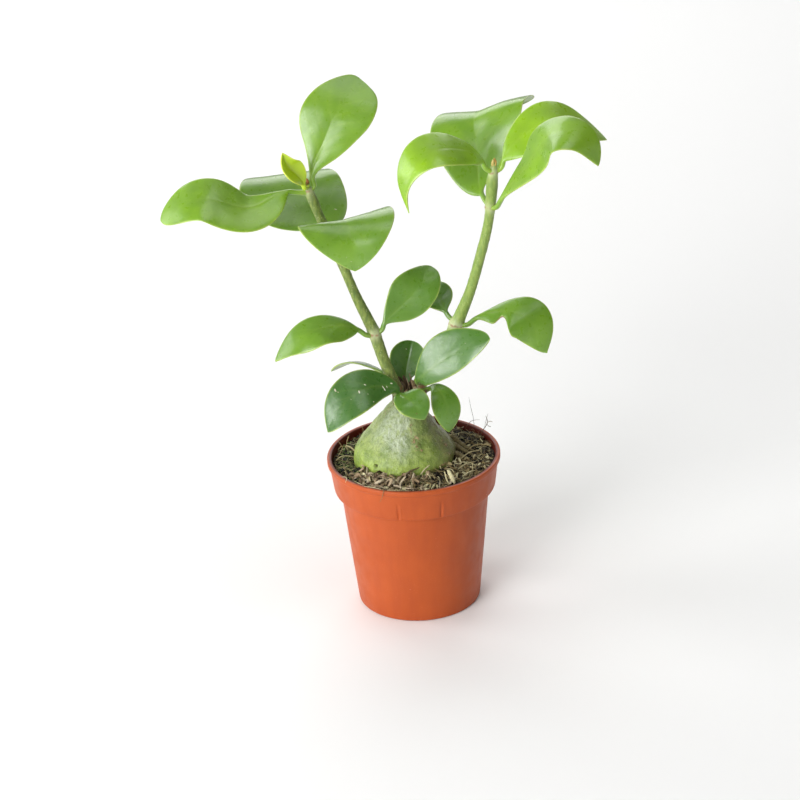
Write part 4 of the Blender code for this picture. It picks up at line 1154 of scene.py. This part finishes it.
def loose_bits(rng, places, lengths, widths, flat, curl, lift, shades, rows, sides):
    """Bits strewn on the soil, each bent and turned at random and following the ground."""
    made = []
    step = np.linspace(-0.5, 0.5, rows)
    for x, y in places:
        length, width = rng.uniform(*lengths) * MM, rng.uniform(*widths)
        heading = rng.uniform(0, 2 * np.pi) + rng.normal(0, curl) * step
        path = np.zeros((rows, 3))
        path[:, 0] = x + np.cumsum(np.cos(heading)) * length / rows
        path[:, 1] = y + np.cumsum(np.sin(heading)) * length / rows
        path[:, :2] -= path[:, :2].mean(axis=0) - (x, y)
        away = np.hypot(path[:, 0], path[:, 1])
        path[:, :2] *= np.minimum(1.0, (wall_inside(SOIL_LEVEL) - 0.5 * MM) / away)[:, None]
        ground = soil_height(path[:, 0], path[:, 1])
        level = 0.5 * ground + 0.5 * ground.max()
        arch = rng.normal(0, 0.13) * length * (1 - 4 * step ** 2) + rng.normal(0, 0.16) * length * step
        path[:, 2] = level + rng.uniform(0, lift) * MM + arch + 0.1 * MM
        path[:, 2] = np.maximum(path[:, 2], ground - 0.1 * MM)
        rings = bit_rings(path, width, flat, rng.uniform(0, np.pi), rows, sides)
        made.append((rings, float(np.clip(rng.normal(*shades), 0, 1))))
    return made


def make_crumbs(rng, look):
    """Dark crumbs of peat in all sizes, half sunk in the soil."""
    ball = bmesh.new()
    bmesh.ops.create_icosphere(ball, subdivisions=2, radius=1.0)
    form = np.array([point.co[:] for point in ball.verts])
    form_faces = np.array([[corner.index for corner in face.verts] for face in ball.faces])
    ball.free()
    points, shades = [], []
    for x, y in scatter(rng, CRUMBS, lambda x, y: 1 - 0.6 * front_heap(x, y)):
        size = (0.3 + 1.1 * rng.random() ** 2.5) * MM
        turn = rng.uniform(0, 2 * np.pi)
        cos, sin = math.cos(turn), math.sin(turn)
        spin = np.array([[cos, -sin, 0], [sin, cos, 0], [0, 0, 1]])
        lump = form * (1 + rng.normal(0, 0.16, (len(form), 1)))
        lump = lump * rng.uniform((0.7, 0.7, 0.5), (1.3, 1.0, 0.9))
        height = soil_height(x, y) + size * rng.uniform(-0.2, 0.6)
        points.append(lump @ spin.T * size + (x, y, height))
        shades.append(np.full(len(form), np.clip(rng.normal(0.4, 0.25), 0, 1)))
    starts = np.arange(CRUMBS) * len(form)
    faces = (form_faces[None] + starts[:, None, None]).reshape(-1, 3).tolist()
    values = {"shade": np.concatenate(shades)}
    piece("soil_crumbs", np.concatenate(points), faces, look, (), values)


def make_flecks():
    """Dry flecks that lie on the leaves, one mesh for each leaf that has any."""
    look = litter_look("leaf_fleck_look", screen(112, 84, 52), screen(206, 200, 168), screen(238, 234, 214),
                       0.3, 0.7)
    around = np.linspace(0.0, 2 * np.pi, 12, endpoint=False)
    out, level = np.array(FLECK_SECTION).T[:, :, None, None]
    for name, rows in LEAF_FLECKS.items():
        blade = bpy.data.objects[name + "_fine"]
        bits = []
        for place, length, width, turn, shade in rows:
            _, spot, normal, _ = blade.closest_point_on_mesh(Vector(place) * MM)
            spot, normal = np.array(spot), np.array(normal)
            aside = unit(np.cross(normal, (0.0, 0.0, 1.0)))
            rise = np.cross(normal, aside)
            angle = math.radians(turn)
            long_way = (aside * math.cos(angle) - rise * math.sin(angle)) * length * MM * FLECK_REACH[0]
            wide_way = (aside * math.sin(angle) + rise * math.cos(angle)) * width * MM * FLECK_REACH[1]
            ring = np.cos(around)[:, None] * long_way + np.sin(around)[:, None] * wide_way
            rings = spot + out * ring + level * normal * FLECK_THICKNESS
            rings += rough_noise(rings, 0.5 * MM, turn)[..., None] * (rings - spot) * 0.5
            bits.append((rings, shade))
        bundle(name + "_flecks", bits, look)


def make_litter():
    """Everything loose on the soil and in the crown: crumbs, straw, chips, moss, roots and scales."""
    rng = np.random.default_rng(LITTER_SEED)
    peat = litter_look("peat_crumb_look", screen(14, 12, 9), screen(34, 28, 19), screen(78, 70, 46), 0.5)
    straw = litter_look("straw_look", screen(62, 48, 28), screen(150, 130, 84), screen(226, 218, 172),
                        0.35, 0.7)
    paper = litter_look("dry_scale_look", screen(84, 64, 44), screen(158, 134, 102), screen(218, 202, 172),
                        0.5, 0.75)
    moss = litter_look("moss_look", screen(52, 70, 30), screen(98, 124, 56), screen(176, 190, 128), 0.3)
    bark = litter_look("root_look", screen(70, 62, 40), screen(118, 106, 68), screen(164, 150, 102),
                       0.8, 0.7)
    bud = litter_look("bud_look", screen(150, 84, 36), screen(196, 150, 70), screen(214, 206, 128), 0.6, 0.5)
    make_crumbs(rng, peat)
    strewn = {"soil_needles": (straw, everywhere), "soil_chips": (straw, near_heaps),
              "soil_curls": (paper, front_heap), "soil_moss": (moss, at_left)}
    for name, (look, weight) in strewn.items():
        count, *form = STREWN[name]
        bundle(name, loose_bits(rng, scatter(rng, count, weight), *form), look)
    fixed_bits("soil_straws", SINGLE_BITS, straw, 9, 0.6)
    roots = [(points, widths, 0.8, 0.5) for points, widths in ROOTS]
    fixed_bits("caudex_roots", roots, bark, 20, 0.6, rows=40)
    fixed_bits("crown_scales", CROWN_SCALES, paper, 12, 0.4, 1.0)
    fixed_bits("apex_scales", APEX_SCALES, bud, 12, 0.4, 1.0)


# Pot: its rounded edges, and the creases moulded into its collar's front, in degrees to the right
LIP = 0.5 * MM
FOOT_ROUNDING = 0.6 * MM
STEP_ROUNDING = 0.45 * MM
COLLAR_CREASES = (-12.6, 17.3)
CREASE_DEPTH = 0.42 * MM
CREASE_WIDTH = 0.8
CREASE_COLUMNS = (-2.6, 4.1, 14)
DRAIN_SIDES = 32
# The low swelling beside each crease: share of its depth, degrees to its right, and width
SWELLING = (0.35, 1.7, 0.9)
# How far the pot is out of round: waves round it, height and start
OUT_OF_ROUND = ((2, 0.12 * MM, 0.5), (3, 0.07 * MM, 2.0))


def arc_points(middle, radius, start, stop, count):
    """Points of an arc as radius and height pairs, by angles in degrees."""
    angles = np.radians(np.linspace(start, stop, count))
    return [(middle[0] + radius * math.cos(angle), middle[1] + radius * math.sin(angle)) for angle in angles]


def straight(start, stop, first, last, count):
    """Points of a straight wall as radius and height pairs, from one share of its length to another."""
    shares = np.linspace(first, last, count)
    return [tuple(low + (high - low) * share for low, high in zip(start, stop)) for share in shares]


def pot_outline():
    """The pot's outline from the middle of its underside, over its lip, to the middle of its floor."""
    collar_top = POT_HEIGHT - RIM_DEPTH
    outer = [(NEAR_AXIS, 0.0), (12 * MM, 0.0), (FOOT_RADIUS - FOOT_ROUNDING, 0.0)]
    outer += arc_points((FOOT_RADIUS - FOOT_ROUNDING, FOOT_ROUNDING), FOOT_ROUNDING, -90, 0, 5)
    outer += straight((FOOT_RADIUS, 0.0), (BODY_TOP_RADIUS, COLLAR_FOOT), 0.05, 0.99, 16)
    outer += [(BODY_TOP_RADIUS + 0.1 * MM, COLLAR_FOOT - 0.1 * MM)]
    outer += [(COLLAR_FOOT_RADIUS - 0.5 * MM, COLLAR_FOOT + 0.05 * MM)]
    middle = (COLLAR_FOOT_RADIUS - STEP_ROUNDING, COLLAR_FOOT + STEP_ROUNDING)
    outer += arc_points(middle, STEP_ROUNDING, -80, 0, 5)
    outer += straight((COLLAR_FOOT_RADIUS, COLLAR_FOOT), (COLLAR_TOP_RADIUS, collar_top), 0.08, 0.99, 14)
    outer += [(COLLAR_TOP_RADIUS + 0.15 * MM, collar_top)]
    outer += arc_points((RIM_RADIUS - LIP * 0.6, collar_top + 0.45 * MM), LIP * 0.6, -70, 0, 4)
    outer += arc_points((RIM_RADIUS - LIP, POT_HEIGHT - LIP), LIP, 0, 90, 6)
    inside = COLLAR_TOP_RADIUS - POT_WALL
    inner = arc_points((inside + LIP * 0.9, POT_HEIGHT - LIP * 0.9), LIP * 0.9, 90, 180, 5)
    inner += [(inside - 0.2 * MM, POT_HEIGHT - 3 * MM)]
    inner += [(COLLAR_FOOT_RADIUS - POT_WALL, COLLAR_FOOT + COLLAR_STEP)]
    inner += [(BODY_TOP_RADIUS - POT_WALL, COLLAR_FOOT - 0.4 * MM)]
    inner += [(FOOT_RADIUS - POT_WALL + 0.3 * MM, FLOOR_THICKNESS + 1.0 * MM)]
    inner += [(FOOT_RADIUS - POT_WALL - 0.7 * MM, FLOOR_THICKNESS), (NEAR_AXIS, FLOOR_THICKNESS)]
    return np.array(outer + inner), len(outer)


def drain_posts():
    """One mesh of round posts that stand where the drain holes go."""
    points, faces = [], []
    for index in range(DRAIN_HOLES):
        turn = 2 * math.pi * (index + 0.5) / DRAIN_HOLES
        for level in (-1.0 * MM, FLOOR_THICKNESS + 0.6 * MM):
            for step in range(DRAIN_SIDES):
                angle = 2 * math.pi * step / DRAIN_SIDES
                points.append((DRAIN_CIRCLE * math.cos(turn) + DRAIN_RADIUS * math.cos(angle),
                               DRAIN_CIRCLE * math.sin(turn) + DRAIN_RADIUS * math.sin(angle), level))
        faces += skin_faces(2, DRAIN_SIDES, index * 2 * DRAIN_SIDES)
    mesh = bpy.data.meshes.new("drain_cutter")
    mesh.from_pydata(points, [], faces)
    posts = bpy.data.objects.new("drain_cutter", mesh)
    bpy.context.scene.collection.objects.link(posts)
    return posts


def make_pot(look):
    """The pot with a rounded lip, a soft step under its collar, two creases and its drain holes."""
    outline, outer_count = pot_outline()
    spots = [crease + offset for crease in COLLAR_CREASES for offset in np.linspace(*CREASE_COLUMNS)]
    even = np.linspace(-np.pi, np.pi, POT_STEPS, endpoint=False)
    around = np.sort(np.concatenate([even, np.radians(spots)]))
    degrees = np.degrees(around)[None, :]
    radius = outline[:, 0][:, None] * np.ones_like(degrees)
    height = outline[:, 1][:, None] * np.ones_like(degrees)
    on_outside = (np.arange(len(outline)) < outer_count)[:, None]
    on_collar = smooth_step(height, COLLAR_FOOT - 0.2 * MM, COLLAR_FOOT + 1 * MM)
    fading = smooth_step(-height, -(COLLAR_FOOT + 8.5 * MM), -(COLLAR_FOOT + 4 * MM))
    on_collar = on_collar * fading * on_outside
    share, aside, width = SWELLING
    for crease in COLLAR_CREASES:
        radius = radius - CREASE_DEPTH * on_collar * bell(degrees, crease, CREASE_WIDTH)
        radius = radius + share * CREASE_DEPTH * on_collar * bell(degrees, crease + aside, width)
    wobble = sum(rise * np.cos(waves * around + start) for waves, rise, start in OUT_OF_ROUND)
    radius = radius + wobble[None, :] * smooth_step(height, 20 * MM, POT_HEIGHT) * (radius > 5 * MM)
    rings = np.stack([radius * np.sin(around), -radius * np.cos(around), height], axis=-1)
    # The inner wall and floor are marked for the darker colour of painted shade
    inside = np.where(on_outside, 0.0, 1.0) * np.ones_like(degrees)
    pot = skin("pot_fine", rings, look, ("pot",), {"inside": inside})
    posts = drain_posts()
    tool = pot.modifiers.new("drain", "BOOLEAN")
    tool.operation = "DIFFERENCE"
    tool.solver = "EXACT"
    tool.object = posts
    evaluated = pot.evaluated_get(bpy.context.evaluated_depsgraph_get())
    mesh = bpy.data.meshes.new_from_object(evaluated)
    pot.modifiers.clear()
    pot.data = mesh
    mesh.set_sharp_from_angle(angle=math.radians(50))
    bpy.data.objects.remove(posts, do_unlink=True)


# Studio: the round floor and the softboxes, each with its name, place, width and height, and watts
FLOOR_RADIUS = 2.4
FLOOR_SIDES = 96
COVE = 0.6
COVE_HEIGHT = 1.0
FLOOR_DROP = 0.0002
LIGHT_AIM = (0.0, 0.0, 0.11)
WORLD_STRENGTH = 0.07
SOFTBOXES = (
    ("key_softbox", (-0.86, -0.95, 0.42), (0.75, 0.85), 15.5),
    ("front_softbox", (-0.5, -1.1, 1.0), (0.6, 0.4), 4.0),
    ("left_softbox", (-1.3, 0.15, 0.6), (0.7, 0.9), 7.0),
    ("back_softbox", (-0.2, 1.1, 0.95), (1.6, 0.9), 13.0),
    ("top_softbox", (0.2, -0.2, 1.4), (0.8, 0.8), 4.0),
)


def make_stage():
    """A round pale floor that curves up into a low wall, as a studio sweep does."""
    outline = [(0.01, 0.0), (0.4, 0.0), (1.0, 0.0), (1.6, 0.0), (FLOOR_RADIUS - COVE, 0.0)]
    outline += arc_points((FLOOR_RADIUS - COVE, COVE), COVE, -80, 0, 9) + [(FLOOR_RADIUS, COVE_HEIGHT)]
    turns = np.linspace(0, 2 * np.pi, FLOOR_SIDES, endpoint=False)
    rings = np.array([[(radius * math.cos(turn), radius * math.sin(turn), height - FLOOR_DROP)
                       for turn in turns] for radius, height in outline])
    mesh = bpy.data.meshes.new("studio_floor")
    faces = skin_faces(len(rings), FLOOR_SIDES)[:-1]
    mesh.from_pydata(rings.reshape(-1, 3).tolist(), [], faces)
    mesh.materials.append(plain_look("studio_floor_look", screen(250, 250, 249)))
    mesh.shade_smooth()
    floor = bpy.data.objects.new("studio_floor", mesh)
    bpy.context.scene.collection.objects.link(floor)


def make_camera():
    """The camera that sees the plant as the photograph does."""
    drop, roll = math.radians(CAMERA_DROP), math.radians(CAMERA_ROLL)
    forward = Vector((0.0, math.cos(drop), -math.sin(drop)))
    level_right, level_up = Vector((1.0, 0.0, 0.0)), Vector((0.0, math.sin(drop), math.cos(drop)))
    right = level_right * math.cos(roll) - level_up * math.sin(roll)
    up = level_up * math.cos(roll) + level_right * math.sin(roll)
    aside = (TARGET_PIXEL[0] - PHOTO_SIZE / 2) * CAMERA_DISTANCE / FOCAL_PIXELS
    above = (PHOTO_SIZE / 2 - TARGET_PIXEL[1]) * CAMERA_DISTANCE / FOCAL_PIXELS
    place = Vector(TARGET) - forward * CAMERA_DISTANCE - right * aside - up * above
    data = bpy.data.cameras.new("photo_camera")
    data.sensor_width = SENSOR
    data.lens = FOCAL_PIXELS * SENSOR / PHOTO_SIZE
    camera = bpy.data.objects.new("photo_camera", data)
    turn = Matrix((right, up, -forward)).transposed()
    camera.matrix_world = Matrix.Translation(place) @ turn.to_4x4()
    bpy.context.scene.collection.objects.link(camera)
    bpy.context.scene.camera = camera


def make_lights():
    """A key softbox low at the front left, and others high in front, at the left, above and behind."""
    for name, place, size, power in SOFTBOXES:
        data = bpy.data.lights.new(name, "AREA")
        data.shape = "RECTANGLE"
        data.size, data.size_y = size
        data.energy = power
        lamp = bpy.data.objects.new(name, data)
        lamp.location = place
        lamp.rotation_euler = (Vector(LIGHT_AIM) - Vector(place)).to_track_quat("-Z", "Y").to_euler()
        bpy.context.scene.collection.objects.link(lamp)
    world = bpy.data.worlds.new("studio_world")
    world.use_nodes = True
    background = world.node_tree.nodes["Background"]
    background.inputs["Color"].default_value = (1.0, 1.0, 1.0, 1.0)
    background.inputs["Strength"].default_value = WORLD_STRENGTH
    bpy.context.scene.world = world


def main():
    bpy.context.scene.view_settings.view_transform = "Standard"
    make_camera()
    make_stage()
    make_lights()
    make_pot(pot_look())
    peat = litter_look("peat_look", screen(15, 12, 9), screen(36, 29, 20), screen(70, 62, 36), 0.9)
    make_soil(peat)
    make_caudex(caudex_look())
    bark = stem_look("stem_left_look", screen(128, 144, 66), screen(92, 112, 46), screen(206, 208, 158))
    make_stem("stem_left", STEM_LEFT, bark, NODES_LEFT, WOODY_LEFT)
    bark = stem_look("stem_right_look", screen(138, 160, 74), screen(118, 144, 62), screen(178, 192, 116))
    make_stem("stem_right", STEM_RIGHT, bark, NODES_RIGHT, WOODY_RIGHT)
    green = leaf_look("leaf_green_look", screen(60, 104, 42), screen(152, 196, 34), screen(150, 172, 116),
                      screen(176, 194, 92), 0.31)
    young = leaf_look("leaf_young_look", screen(150, 178, 12), screen(174, 202, 14), screen(196, 212, 60),
                      screen(226, 232, 90), 0.4)
    for name, shape in LEAVES.items():
        make_leaf(name, shape, young if name == "leaf_left_young" else green)
    make_flecks()
    make_litter()


main()
